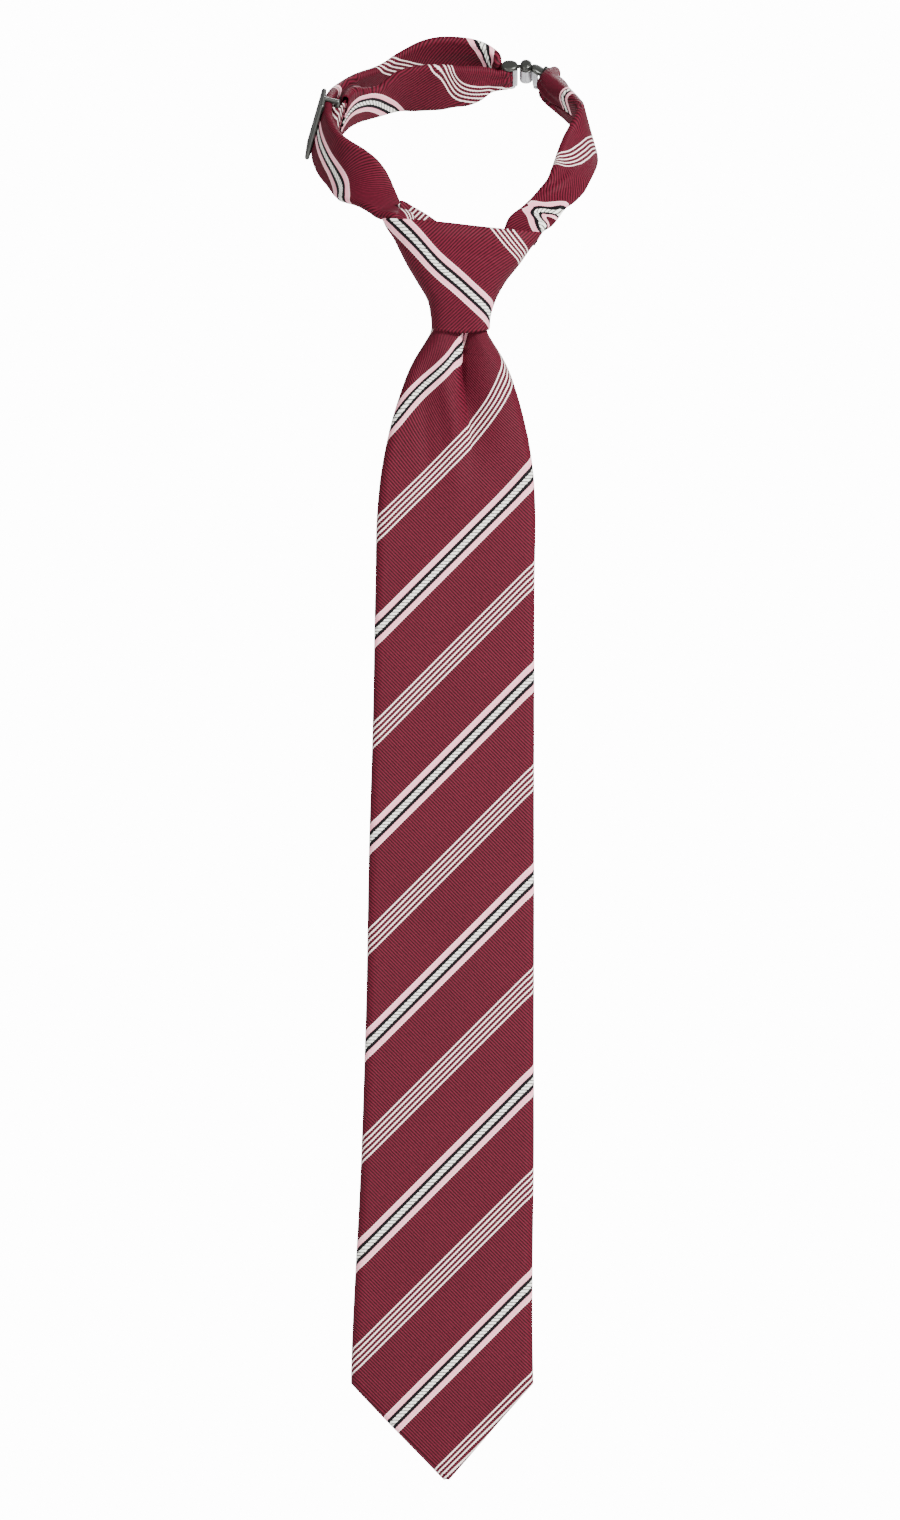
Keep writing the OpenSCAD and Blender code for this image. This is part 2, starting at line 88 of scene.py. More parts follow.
def length(name, description, default, low, high):
    return FloatProperty(name=name, description=description, default=default, min=low, max=high, unit="LENGTH")


def colour(name, description, default):
    return FloatVectorProperty(name=name, description=description, default=default, subtype="COLOR",
                               size=3, min=0, max=1)


class TieSizes(bpy.types.PropertyGroup):
    """Sizes of the fabric and its pattern."""
    fabric: length("Fabric", "Thickness of one layer of the striped fabric", 0.00045, 0.0002, 0.001)
    repeat: length("Stripe repeat", "Distance from one rope stripe to the next, square to them", 0.0476, 0.02, 0.1)
    rib: length("Rib", "Distance from one rib of the weave to the next", 0.00086, 0.0003, 0.002)


class TieColours(bpy.types.PropertyGroup):
    """Colours of the yarns, as linear values."""
    ground: colour("Ground", "Burgundy yarn on top of the ribs", (0.093, 0.0058, 0.0165))
    hollow: colour("Hollow", "Darker yarn between the ribs", (0.014, 0.0006, 0.0020))
    pink: colour("Pink", "Satin bands beside the rope stripe", (0.72, 0.30, 0.365))
    white: colour("White", "White yarn of the rope and the fine lines", (0.74, 0.73, 0.67))
    black: colour("Black", "Black yarn beside the rope", (0.003, 0.002, 0.003))


# ---------------------------------------------------------------- surfaces

def unit(vectors):
    """Each row vector divided by its own length."""
    return vectors / np.maximum(np.linalg.norm(vectors, axis=-1, keepdims=True), 1e-12)


def ease(x, table):
    """Smooth values at x through a table of (place, value) rows.

    The curve is piecewise cubic, with slopes from the neighbours and none where the table turns round.
    """
    places, values = np.array(table, float).T
    slopes = np.gradient(values, places)
    secants = np.diff(values) / np.diff(places)
    flat = np.concatenate([[False], secants[:-1] * secants[1:] <= 0, [False]])
    slopes[flat] = 0.0
    index = np.clip(np.searchsorted(places, x, side="right") - 1, 0, len(places) - 2)
    step = places[index + 1] - places[index]
    t = np.clip((x - places[index]) / step, 0.0, 1.0)
    a, b = values[index], values[index + 1]
    return ((2 * t**3 - 3 * t**2 + 1) * a + (t**3 - 2 * t**2 + t) * step * slopes[index]
            + (3 * t**2 - 2 * t**3) * b + (t**3 - t**2) * step * slopes[index + 1])


def hump(x, middle, width):
    """A smooth bell of height one about middle, which has faded out at about two widths."""
    return np.exp(-((x - middle) / width) ** 2)


def ripple(u, v, seed, waves=6):
    """A soft random field of u and v (in turns): a seeded sum of slow sine waves, from about -1 to 1."""
    draw = np.random.default_rng(seed)
    total = 0.0
    for turns_u, turns_v, start in zip(draw.uniform(0.3, 1.6, waves), draw.uniform(0.4, 2.2, waves),
                                       draw.uniform(0, 2 * math.pi, waves)):
        total = total + np.sin(2 * math.pi * (turns_u * u + turns_v * v) + start)
    return total / waves


def placed(name, mesh):
    """An object in the scene that shows a mesh, shaded smoothly."""
    mesh.polygons.foreach_set("use_smooth", np.ones(len(mesh.polygons), bool))
    mesh.update()
    piece = bpy.data.objects.new(name, mesh)
    bpy.context.scene.collection.objects.link(piece)
    return piece


def cells(rows, columns):
    """Row and column numbers of the four corners of each cell of a grid."""
    r, c = np.meshgrid(np.arange(rows), np.arange(columns), indexing="ij")
    return (np.stack([r, r, r + 1, r + 1], -1).reshape(-1, 4),
            np.stack([c, c + 1, c + 1, c], -1).reshape(-1, 4))


def surface(name, grid, weave=None):
    """A mesh object from a grid of points (rows, columns, 3), where each cell of the grid is one face.

    weave gives each grid point its place on the flat fabric: metres across the stripes and metres along them.
    """
    rows, columns = grid.shape[:2]
    corners_r, corners_c = cells(rows - 1, columns - 1)
    faces = corners_r * columns + corners_c
    mesh = bpy.data.meshes.new(name)
    mesh.from_pydata(grid.reshape(-1, 3).tolist(), [], faces.tolist())
    if weave is not None:
        layer = mesh.uv_layers.new(name="weave")
        layer.data.foreach_set("uv", weave[corners_r, corners_c].astype(np.float32).ravel())
    return placed(name, mesh)


def finish(piece, material, thick=None, offset=-1.0):
    """Gives a piece its material, and a wall of the given thickness.

    The wall goes inwards at offset -1, and half to either side at 0.
    """
    piece.data.materials.append(material)
    if thick:
        wall = piece.modifiers.new("wall", "SOLIDIFY")
        wall.thickness = thick
        wall.offset = offset
        wall.use_even_offset = False
        wall.use_quality_normals = True
    return piece


def run_length(points):
    """The distance along a path of points at each of them."""
    return np.concatenate([[0], np.cumsum(np.linalg.norm(np.diff(points, axis=0), axis=1))])


def path_frames(middles, across):
    """The directions across a path and out of its face at each row, square to it and to each other."""
    along = unit(np.gradient(middles, axis=0))
    facing = unit(np.cross(along, across))
    return np.cross(facing, along), facing


def flat_tube(width, thick, columns, gap=0.00025, closer=0.0, seam=0.0):
    """Cross sections of fabric folded round to a flat tube, one row for each width and thickness.

    A section runs from its back seam round one rounded edge, over the front and round the other edge back to
    the seam, which stands off the middle by seam. Returns the places across and through the strap, and the
    flat place across the fabric from the middle of the front.
    """
    width, thick = np.atleast_1d(width)[:, None], np.atleast_1d(thick)[:, None]
    turn = np.linspace(0, 1, columns)[None, :]
    turn = turn + closer * np.sin(2 * math.pi * turn) / (2 * math.pi)
    radius = thick / 2
    straight = width / 2 - radius
    arc = math.pi * radius
    half = straight + arc + straight
    flat = (turn * 2 - 1) * (half - gap) + seam
    place = (flat + half) % (2 * half) - half
    run, side = np.abs(place), np.sign(place)
    on_arc = np.clip((run - straight) / radius, 0, math.pi)
    on_back = np.clip(run - straight - arc, 0, None)
    across = side * (np.minimum(run, straight) + radius * np.sin(on_arc) - on_back)
    return across, -radius * np.cos(on_arc), flat


def solid(name, grids):
    """One mesh object from closed grids, each given with whether its last row joins its first.

    Each grid wraps round in its columns, and a row of equal points is a pole.
    """
    points, faces, start = [], [], 0
    for grid, ring in grids:
        rows, columns = grid.shape[:2]
        corners_r, corners_c = cells(rows if ring else rows - 1, columns)
        faces.append(corners_r % rows * columns + corners_c % columns + start)
        points.append(grid.reshape(-1, 3))
        start += rows * columns
    mesh = bpy.data.meshes.new(name)
    mesh.from_pydata(np.concatenate(points).tolist(), [], np.concatenate(faces).tolist())
    shape = bmesh.new()
    shape.from_mesh(mesh)
    bmesh.ops.remove_doubles(shape, verts=shape.verts, dist=1e-7)
    bmesh.ops.recalc_face_normals(shape, faces=shape.faces)
    shape.to_mesh(mesh)
    shape.free()
    return placed(name, mesh)


def signed_power(value, power):
    """The power of a value's size, with the value's own sign."""
    return np.sign(value) * np.abs(value) ** power


def pebble(middle, half, axes, plan=1.0, profile=1.0, rows=17, columns=32):
    """A rounded block: a superellipsoid with half sizes along three axes.

    A power of one gives an ellipse and a small one a box with rounded edges, in plan and in profile apart.
    """
    rise = np.linspace(-math.pi / 2, math.pi / 2, rows)[:, None]
    turn = np.linspace(0, 2 * math.pi, columns, endpoint=False)[None, :]
    reach = signed_power(np.cos(rise), profile)
    reach[0] = reach[-1] = 0.0
    local = np.stack(np.broadcast_arrays(half[0] * reach * signed_power(np.cos(turn), plan),
                                         half[1] * reach * signed_power(np.sin(turn), plan),
                                         half[2] * signed_power(np.sin(rise), profile)), -1)
    return middle + local @ axes, False


def collar(middle, inner, outer, half, axes, rows=20, columns=40):
    """A tube with rounded ends: a rounded square profile turned about the third axis."""
    around = np.linspace(0, 2 * math.pi, rows, endpoint=False)[:, None]
    turn = np.linspace(0, 2 * math.pi, columns, endpoint=False)[None, :]
    radius = (inner + outer) / 2 + (outer - inner) / 2 * signed_power(np.cos(around), 0.35)
    local = np.stack(np.broadcast_arrays(radius * np.cos(turn), radius * np.sin(turn),
                                         half * signed_power(np.sin(around), 0.35)), -1)
    return middle + local @ axes, True


# ---------------------------------------------------------------- shader maths

class Value:
    """A shader socket that takes part in Python arithmetic: each operator adds its Math node."""

    def __init__(self, kit, socket):
        self.kit, self.socket = kit, socket

    def math(self, operation, *others, clamp=False):
        return self.kit.node("ShaderNodeMath", "Value", dict(operation=operation, use_clamp=clamp),
                             {index: item for index, item in enumerate((self,) + others)})

    def __add__(self, other): return self.math("ADD", other)
    def __sub__(self, other): return self.math("SUBTRACT", other)
    def __mul__(self, other): return self.math("MULTIPLY", other)
    def __truediv__(self, other): return self.math("DIVIDE", other)
    def __rsub__(self, other): return self.kit.number(other).math("SUBTRACT", self)
    __radd__, __rmul__ = __add__, __mul__

    def abs(self): return self.math("ABSOLUTE")
    def sin(self): return self.math("SINE")
    def within(self, period): return self.math("FLOORED_MODULO", period)
    def most(self, other): return self.math("MAXIMUM", other)

    def below(self, edge, soft):
        """1 where the value is below edge and 0 above it, with a ramp as wide as soft."""
        return ((self.kit.number(edge) - self) / soft).math("ADD", 0.5, clamp=True)

    def to_centre(self, period):
        """Distance from the nearest whole multiple of period."""
        return ((self + period / 2).within(period) - period / 2).abs()


class Finish:
    """One material and the nodes that make it."""

    def __init__(self, name, **constants):
        self.material = bpy.data.materials.new(name)
        self.material.use_nodes = True
        self.tree = self.material.node_tree
        self.shader = self.tree.nodes["Principled BSDF"]
        for socket, value in constants.items():
            self.shader.inputs[socket.replace("_", " ")].default_value = value

    def node(self, kind, output, settings=None, inputs=None):
        """Adds a node of a type, sets its settings first, then its inputs, and returns the named output."""
        made = self.tree.nodes.new(kind)
        for key, value in (settings or {}).items():
            setattr(made, key, value)
        for key, value in (inputs or {}).items():
            self.feed(made.inputs[key], value)
        return Value(self, made.outputs[output])

    def feed(self, socket, value):
        if isinstance(value, Value):
            self.tree.links.new(value.socket, socket)
        else:
            socket.default_value = value

    def number(self, value):
        if isinstance(value, Value):
            return value
        return self.node("ShaderNodeMath", "Value", dict(operation="ADD"), {0: float(value), 1: 0.0})

    def blend(self, share, a, b):
        """Colour a where share is 0 and b where it is 1."""
        return self.node("ShaderNodeMix", 2, dict(data_type="RGBA"), {0: share, 6: rgba(a), 7: rgba(b)})

    def noise(self, place, scale, detail=2.0, rough=0.5):
        return self.node("ShaderNodeTexNoise", 0, None,
                         {"Vector": place, "Scale": scale, "Detail": detail, "Roughness": rough})

    def object_place(self):
        return self.node("ShaderNodeTexCoord", "Object")

    def weave_place(self):
        """The place on the flat fabric, as (vector, metres across the stripes, metres along them)."""
        place = self.node("ShaderNodeUVMap", "UV", dict(uv_map="weave"))
        split = self.tree.nodes.new("ShaderNodeSeparateXYZ")
        self.tree.links.new(place.socket, split.inputs[0])
        return place, Value(self, split.outputs[0]), Value(self, split.outputs[1])

    def bump(self, height, distance, strength=1.0):
        self.feed(self.shader.inputs["Normal"], self.node(
            "ShaderNodeBump", "Normal", None, {"Height": height, "Distance": distance, "Strength": strength}))

    def set(self, socket, value):
        self.feed(self.shader.inputs[socket], value)


def rgba(colour):
    return colour if isinstance(colour, Value) else (*colour[:3], 1.0)


# ---------------------------------------------------------------- materials

def striped_silk():
    """Burgundy ribbed twill with woven stripes.

    Across the stripes the pattern repeats: a white rope between two black lines and two pink satin bands,
    then, half a repeat away, five fine white lines. The ribs cross the stripes at right angles.
    """
    sizes, colours = bpy.context.scene.tie_sizes, bpy.context.scene.tie_colours
    silk = Finish("striped_silk", Roughness=0.5, Sheen_Weight=0.0, Specular_IOR_Level=0.08)
    place, across, along = silk.weave_place()
    turn = 2 * math.pi / sizes.rib
    rib = (along * turn).sin()
    uneven = across + rib * 0.00005
    from_rope = uneven.to_centre(sizes.repeat)
    from_lines = (uneven + sizes.repeat / 2).to_centre(sizes.repeat)
    soft, rope_half, black_edge, pink_edge = 0.0001, 0.00080, 0.00190, 0.00360
    line_half, line_pitch, lines_edge = 0.00024, 0.00141, 0.0033
    rope = from_rope.below(rope_half, soft)
    inside_pink = from_rope.below(black_edge, soft)
    inside_ground = from_rope.below(pink_edge, soft)
    black = inside_pink - rope
    pink = inside_ground - inside_pink
    line = from_lines.to_centre(line_pitch).below(line_half, soft) * from_lines.below(lines_edge, soft)
    edge_line = (from_rope - (pink_edge - 0.00015)).abs().below(line_half / 2, soft)
    plain = 1.0 - inside_ground.most(line)

    slub = silk.noise(place, 900.0, 3.0)
    cloud = silk.noise(place, 45.0, 2.0)
    beside_rope = (uneven + sizes.repeat / 2).within(sizes.repeat) - sizes.repeat / 2
    strand_pitch = 0.0015
    tick = ((along + beside_rope) * (2 * math.pi / strand_pitch)).sin()
    tick = tick.math("MULTIPLY_ADD", 0.5, 0.5).below(0.24, 0.16)

    top = silk.blend(cloud, [c * 0.92 for c in colours.ground], [c * 1.12 for c in colours.ground])
    share = (rib * 0.46 + 0.5 + (slub - 0.5) * 0.5).math("ADD", 0.0, clamp=True)
    colour = silk.blend(share, colours.hollow, top)
    white = silk.blend(tick, colours.white, [c * 0.14 for c in colours.white])
    colour = silk.blend(pink, colour, colours.pink)
    colour = silk.blend(edge_line * 0.55, colour, colours.white)
    colour = silk.blend(rope, colour, white)
    colour = silk.blend(black.most(0.0), colour, colours.black)
    colour = silk.blend(line, colour, silk.blend(0.25, colours.white, colours.pink))
    silk.set("Base Color", colour)
    silk.set("Roughness", 0.60 - pink * 0.14 + (slub - 0.5) * 0.1)
    height = (rib * plain * 0.5 + line * 0.9 + rope * (1.1 - tick * 0.9)
              + pink * (0.35 + slub * 0.2) + slub * 0.25)
    silk.bump(height, 0.00012, 0.9)
    return silk.material


def canvas_cloth():
    """Pale coarse plain weave: two square sets of yarns, with slubs."""
    cloth = Finish("canvas_cloth", Roughness=0.9, Specular_IOR_Level=0.2)
    place, across, along = cloth.weave_place()
    yarn = 2 * math.pi / 0.0009
    cross = (across * yarn).sin() * (along * yarn).sin()
    slub = cloth.noise(place, 500.0, 3.0)
    cloth.set("Base Color", cloth.blend((cross * 0.3 + slub).math("ADD", 0.0, clamp=True),
                                        (0.55, 0.49, 0.38), (0.82, 0.77, 0.66)))
    cloth.bump(cross + slub * 0.5, 0.0001, 0.7)
    return cloth.material


def lining_satin():
    """Dark wine satin: fine floats along one direction and a low sheen."""
    satin = Finish("lining_satin", Roughness=0.38, Sheen_Weight=0.2, Specular_IOR_Level=0.45)
    place, across, _ = satin.weave_place()
    float_yarn = (across * (2 * math.pi / 0.00035)).sin()
    cloud = satin.noise(place, 160.0, 3.0)
    satin.set("Base Color", satin.blend(cloud, (0.075, 0.008, 0.018), (0.13, 0.016, 0.034)))
    satin.bump(float_yarn * 0.5 + cloud, 0.00004, 0.6)
    return satin.material


def sewing_thread(name, colour):
    """Twisted thread: slanted strands across the object's own place."""
    thread = Finish(name, Roughness=0.7, Sheen_Weight=0.15)
    wave = thread.node("ShaderNodeTexWave", 1, dict(wave_type="BANDS", bands_direction="DIAGONAL"),
                       {"Vector": thread.object_place(), "Scale": 900.0, "Distortion": 0.6, "Detail": 1.0})
    thread.set("Base Color", thread.blend(wave, [c * 0.55 for c in colour], colour))
    thread.bump(wave, 0.00006, 0.8)
    return thread.material


def label_tape():
    """Blank woven tape: fine ribs across it."""
    tape = Finish("label_tape", Roughness=0.75, Specular_IOR_Level=0.3)
    _, _, along = tape.weave_place()
    rib = (along * (2 * math.pi / 0.0005)).sin()
    tape.set("Base Color", tape.blend(rib * 0.5 + 0.5, (0.66, 0.65, 0.60), (0.80, 0.79, 0.75)))
    tape.bump(rib, 0.00004, 0.7)
    return tape.material


def moulded_plastic():
    """Pale moulded plastic with a fine spark-eroded grain."""
    plastic = Finish("moulded_plastic", Roughness=0.55)
    grain = plastic.noise(plastic.object_place(), 1800.0, 4.0)
    plastic.set("Base Color", plastic.blend(grain, (0.60, 0.58, 0.52), (0.68, 0.66, 0.60)))
    plastic.bump(grain, 0.00004, 0.5)
    return plastic.material


def plated_metal(name, dark_above):
    """Dark gunmetal plating with fine polishing lines.

    Where dark_above is a height along the clasp's own axis, the metal below it is bright polished steel, and
    the end plate above it is dark.
    """
    metal = Finish(name, Metallic=0.9)
    place = metal.object_place()
    scratch = metal.noise(metal.node("ShaderNodeMapping", 0, None,
                                     {"Vector": place, "Scale": (1.0, 1.0, 9.0)}), 700.0, 4.0, 0.6)
    cloud = metal.noise(place, 260.0, 3.0)
    dark = metal.blend(cloud, (0.040, 0.042, 0.039), (0.085, 0.087, 0.080))
    bright = metal.blend(scratch, (0.26, 0.265, 0.28), (0.55, 0.55, 0.57))
    if dark_above is None:
        metal.set("Base Color", dark)
    else:
        offset = metal.node("ShaderNodeVectorMath", "Vector", dict(operation="SUBTRACT"),
                            {0: place, 1: tuple(EYE_BAR)})
        height = metal.node("ShaderNodeVectorMath", "Value", dict(operation="DOT_PRODUCT"),
                            {0: offset, 1: tuple(CLASP_UP)})
        sideways = metal.node("ShaderNodeSeparateXYZ", "X", None, {"Vector": offset})
        height = height + (sideways - 0.0085).most(0.0) * 0.7
        metal.set("Base Color", metal.blend(height.below(dark_above, 0.00012), dark, bright))
    metal.set("Roughness", 0.24 + scratch * 0.22)
    metal.bump(scratch * 0.4 + cloud, 0.00003, 0.5)
    return metal.material


MATERIALS = {}


def material(name):
    return MATERIALS[name]


# ---------------------------------------------------------------- stripes on the fabric

def diagonal(x, z, rise, start):
    """Place on the fabric where the stripes rise to +X (rise 1) or fall to +X (rise -1): across, along.

    Across is the distance square to the stripes, counted from the rope stripe at start.
    """
    root = math.sqrt(0.5)
    return np.stack([(z - rise * x) * root - start, (z + rise * x) * root], -1)


def slanted(length, flat, table):
    """Place on the fabric of a strap whose stripes cross it at a slant that changes along its length.

    The table gives the distance square to the stripes, in mm, of the strap's middle at each length. Its slope
    is the sine of the stripes' angle to the strap, and the cosine carries the same distance across it.
    """
    middle = ease(length / MM, table) * MM
    sine = np.clip(np.gradient(middle, length), -0.97, 0.97)
    cosine = np.sqrt(1 - sine**2)
    along = np.cumsum(cosine * np.gradient(length))
    return np.stack([middle[:, None] + cosine[:, None] * flat, along[:, None] - sine[:, None] * flat], -1)


# ---------------------------------------------------------------- blade

SWING = np.array(JOINTS["blade_swing"]["pos_m"])
BLADE_TIP = BLADE_BOX[0][2]
BLADE_TOP = SWING[2] + 0.0035
CORNER_HALF = (BLADE_BOX[1][0] - BLADE_BOX[0][0]) / 2 - 0.0004
TIP_RISE = 0.032
CORNER_Z = BLADE_TIP + TIP_RISE
PARTING = 0.042  # height over which the back flaps part above the tip's corners
ROPE_START = -0.1246  # place square to the stripes of the rope stripe that the blade's pattern counts from


def blade_shape(z):
    """Half width, half thickness and middle of the blade at the heights z."""
    down = (SWING[2] - z) / MM
    corner = (SWING[2] - CORNER_Z) / MM
    tip = (SWING[2] - BLADE_TIP) / MM
    half = ease(down, [(-8, 8.6), (-3.5, 9.2), (0, 11.2), (5, 14.3), (10, 16.7), (15, 18.5), (20, 20.1),
                       (25, 21.5), (30, 22.7), (36, 23.9), (44, 25.1), (54, 25.9), (80, 26.1), (160, 27.0),
                       (250, 28.0), (300, 29.0), (corner, CORNER_HALF / MM)])
    point = np.clip((tip - down) / (tip - corner), 0, 1)
    half = np.where(down > corner, 0.6 + (CORNER_HALF / MM - 0.6) * point, half)
    thick = ease(down, [(-8, 4.3), (0, 4.3), (12, 3.4), (30, 2.6), (52, 2.2), (250, 2.15), (corner, 1.9),
                        (tip, 1.2)])
    middle = ease(down, [(-8, -1.0), (0, -1.0), (60, -2.0), (150, -3.2), (260, -4.6), (corner, -6.6),
                         (tip, -5.2)])
    return half * MM, thick * MM, middle * MM


def dimple(x, down):
    """Depth of the crease under the knot at x (metres) and at each distance below the swing line (mm).

    Left of the crease the wall is steep, with a rounded ridge beside it; right of it the slope is gentle.
    Returns with the depth how far the lip leans sideways, and the distance from the crease in mm.
    """
    crease = ease(down, [(-8, -0.2), (4, -0.5), (8, -0.7), (16, 0.4), (26, 2.3), (40, 3.2), (60, 3.5)])
    deep = ease(down, [(-8, 4.6), (4, 4.4), (12, 3.7), (20, 2.6), (28, 1.5), (36, 0.7), (48, 0.0),
                       (400, 0.0)])
    wall = ease(down, [(-8, 0.7), (8, 0.9), (20, 1.6), (34, 3.2), (60, 5.0)])
    slope = ease(down, [(-8, 3.4), (8, 4.2), (24, 5.4), (50, 7.0)])
    u = x / MM - crease
    left = np.exp(-(np.minimum(u, 0) / wall) ** 2)
    right = np.exp(-(np.maximum(u, 0) / slope) ** 1.6)
    ridge = ease(down, [(-8, 0.5), (6, 1.0), (18, 1.7), (30, 1.2), (46, 0.3), (60, 0.0), (400, 0.0)])
    lobe = ease(down, [(-8, 0.3), (10, 0.8), (28, 0.6), (48, 0.0), (400, 0.0)])
    depth = deep * left * right - ridge * hump(u, -5.2, 3.6) - lobe * hump(u, 11.0, 6.0)
    lip = 0.2 * deep * hump(u, -0.9, 1.0)
    return depth * MM, lip * MM, u


def blade_cover_grid(z, columns):
    """Points and flat places of the fabric folded round the blade.

    A row at height z is a flat tube as wide as the blade. Its front is pressed in along the crease under the
    knot, and carries slow waves that fade towards the tip. Columns lie closer together at the front's middle.
    """
    half, thick, middle = blade_shape(z)
    across, through, flat = flat_tube(2 * half, 2 * thick, columns, 0.0003, 0.62)
    front = np.clip(-through / thick[:, None], 0, 1)
    share = across / half[:, None]
    down = ((SWING[2] - z) / MM)[:, None]
    x = middle[:, None] + across
    depth, lip, u = dimple(x, down)
    fold = hump(down, 26, 18) * 0.5 * MM * hump(x / MM, -14 + down * 0.06, 2.6)
    waves = 0.22 * MM * ripple(share * 0.8, down / 150.0, 4) * (0.4 + 0.6 * hump(down, 60, 90))
    crown = 0.3 * MM * (1 - share**2)
    y = SWING[1] + through + front * (depth + fold + waves - crown)
    edge = 0.22 * MM * ripple(down / 120.0, share * 0.1, 9) * (down > 30)
    tip = np.clip((CORNER_Z - z) / TIP_RISE, 0, 1)[:, None]
    x = x + edge * (1 - tip) * np.abs(share) + lip * front
    points = np.stack(np.broadcast_arrays(x, y, z[:, None]), -1)

    full = ease(down[:, 0], [(-8, 24.0), (0, 24.4), (20, 25.4), (54, 25.9), (400, 29.5)])[:, None] * MM
    spread = np.maximum(np.where(down < 54, full / half[:, None], 1.0), 1.0)
    hidden = ease(down[:, 0], [(-8, 1.2), (4, 1.6), (9, 1.6), (14, 0.8), (20, 0.0), (400, 0.0)])[:, None] * MM
    flat_x = np.where(u > 0, flat * (spread - hidden / full) + hidden, flat * spread)
    lift = 3.8 * MM * hump(across / MM, -15, 9) * hump(down, 13, 15)
    weave = diagonal(flat_x + (middle + 0.001)[:, None], z[:, None] - lift, 1, ROPE_START)
    return points, weave


def make_blade_cover():
    """The blade's fabric, whose rows lie closer together under the knot."""
    z = np.concatenate([np.linspace(BLADE_TOP + 0.006, SWING[2] - 0.06, 110, endpoint=False),
                        np.linspace(SWING[2] - 0.06, CORNER_Z, 110, endpoint=False),
                        CORNER_Z - TIP_RISE * np.linspace(0, 1, 34)])
    points, weave = blade_cover_grid(z, 161)
    # The back flaps part in an upside-down V over the lining.
    half, thick, middle = blade_shape(z)
    part = np.clip((CORNER_Z + PARTING - z) / PARTING, 0, 1) * (half - 0.0032)
    part = np.minimum(part, np.maximum(half - 0.0016, 0))[:, None]
    x = points[..., 0] - middle[:, None]
    behind = points[..., 1] > SWING[1] + thick[:, None] * 0.55
    moved = np.sign(x) * np.maximum(np.abs(x), part)
    points[..., 0] = np.where(behind, moved, x) + middle[:, None]
    cover = surface("blade_cover", points, weave)
    finish(cover, material("striped_silk"), bpy.context.scene.tie_sizes.fabric)
    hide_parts("blade_shell")
    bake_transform(cover)


def layer(name, z, half, y, columns=31, follow=0.0):
    """A flat layer inside the blade: straight rows from -half to half about the blade's middle.

    It follows a share of the crease under the knot.
    """
    middle = blade_shape(z)[2]
    share = np.linspace(-1, 1, columns)[None, :]
    x = middle[:, None] + share * half[:, None]
    down = ((SWING[2] - z) / MM)[:, None]
    depth = np.maximum(dimple(x, down)[0], 0) * follow
    grid = np.stack(np.broadcast_arrays(x, y[:, None] + depth, z[:, None]), -1)
    return surface(name, grid, diagonal(x, z[:, None], 1, 0.0))


def make_blade_layers():
    """The canvas inside the blade and the lining of its tip."""
    z = np.linspace(SWING[2] - 0.002, CORNER_Z - TIP_RISE * 0.5, 120)
    half = np.maximum(blade_shape(z)[0] - 0.004, 0.002)
    canvas = layer("blade_canvas", z, half, np.full(len(z), SWING[1] + 0.0002), follow=0.72)
    finish(canvas, material("canvas_cloth"), 0.0012, 0.0)
    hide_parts("blade_interlining")
    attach(canvas, "blade")
    low, high = (np.array(corner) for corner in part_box("tip_lining"))
    z = np.linspace(high[2], low[2], 60)
    shape = blade_shape(z)
    full = shape[0] - 0.003
    half = np.clip(np.minimum((high[2] + 0.006 - z) / PARTING * full, full), 0.0006, None)
    lining = layer("tip_lining_cloth", z, half, np.full(len(z), (low[1] + high[1]) / 2))
    finish(lining, material("lining_satin"), 0.0003, 0.0)
    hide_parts("tip_lining")
    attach(lining, "blade")


def make_label():
    """A blank tape with a slight bow, sewn to the back of the blade."""
    low, high = (np.array(corner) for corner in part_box("care_label"))
    x = np.linspace(low[0], high[0], 15)[None, :]
    z = np.linspace(high[2], low[2], 19)[:, None]
    share_x = (x - low[0]) / (high[0] - low[0]) * 2 - 1
    y = high[1] - 0.0002 - 0.0003 * share_x**2 + 0 * z
    grid = np.stack(np.broadcast_arrays(x, y, z), -1)
    weave = np.stack(np.broadcast_arrays(x, z), -1)
    label = surface("blank_label", grid[:, ::-1], weave[:, ::-1])
    finish(label, material("label_tape"), 0.0002)
    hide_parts("care_label")
    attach(label, "blade")


# ---------------------------------------------------------------- knot

def knot_sides(z):
    """Left and right reach of the knot at the height z."""
    down = -z / MM
    left = ease(down, [(-1, 26.2), (2.7, 24.7), (6, 22.7), (11, 20.3), (16, 17.7), (21, 14.4), (26, 11.2),
                       (31, 10.1), (36.6, 9.6)])
    right = ease(down, [(2.5, 26.3), (3.7, 26.0), (6, 25.0), (11, 22.0), (16, 18.7), (21, 14.4), (26, 11.2),
                        (31, 9.3), (36.6, 8.8)])
    return -left * MM, right * MM


def knot_top(x):
    """Height of the knot's slanted top edge at x."""
    return ease(x / MM, [(-26, 1.0), (-10, 0.0), (9, -2.1), (26, -3.7)]) * MM


def knot_foot(x):
    """Height of the curved lower edge at x."""
    return (-36.6 + 1.3 * (x / MM / 9.5) ** 2) * MM


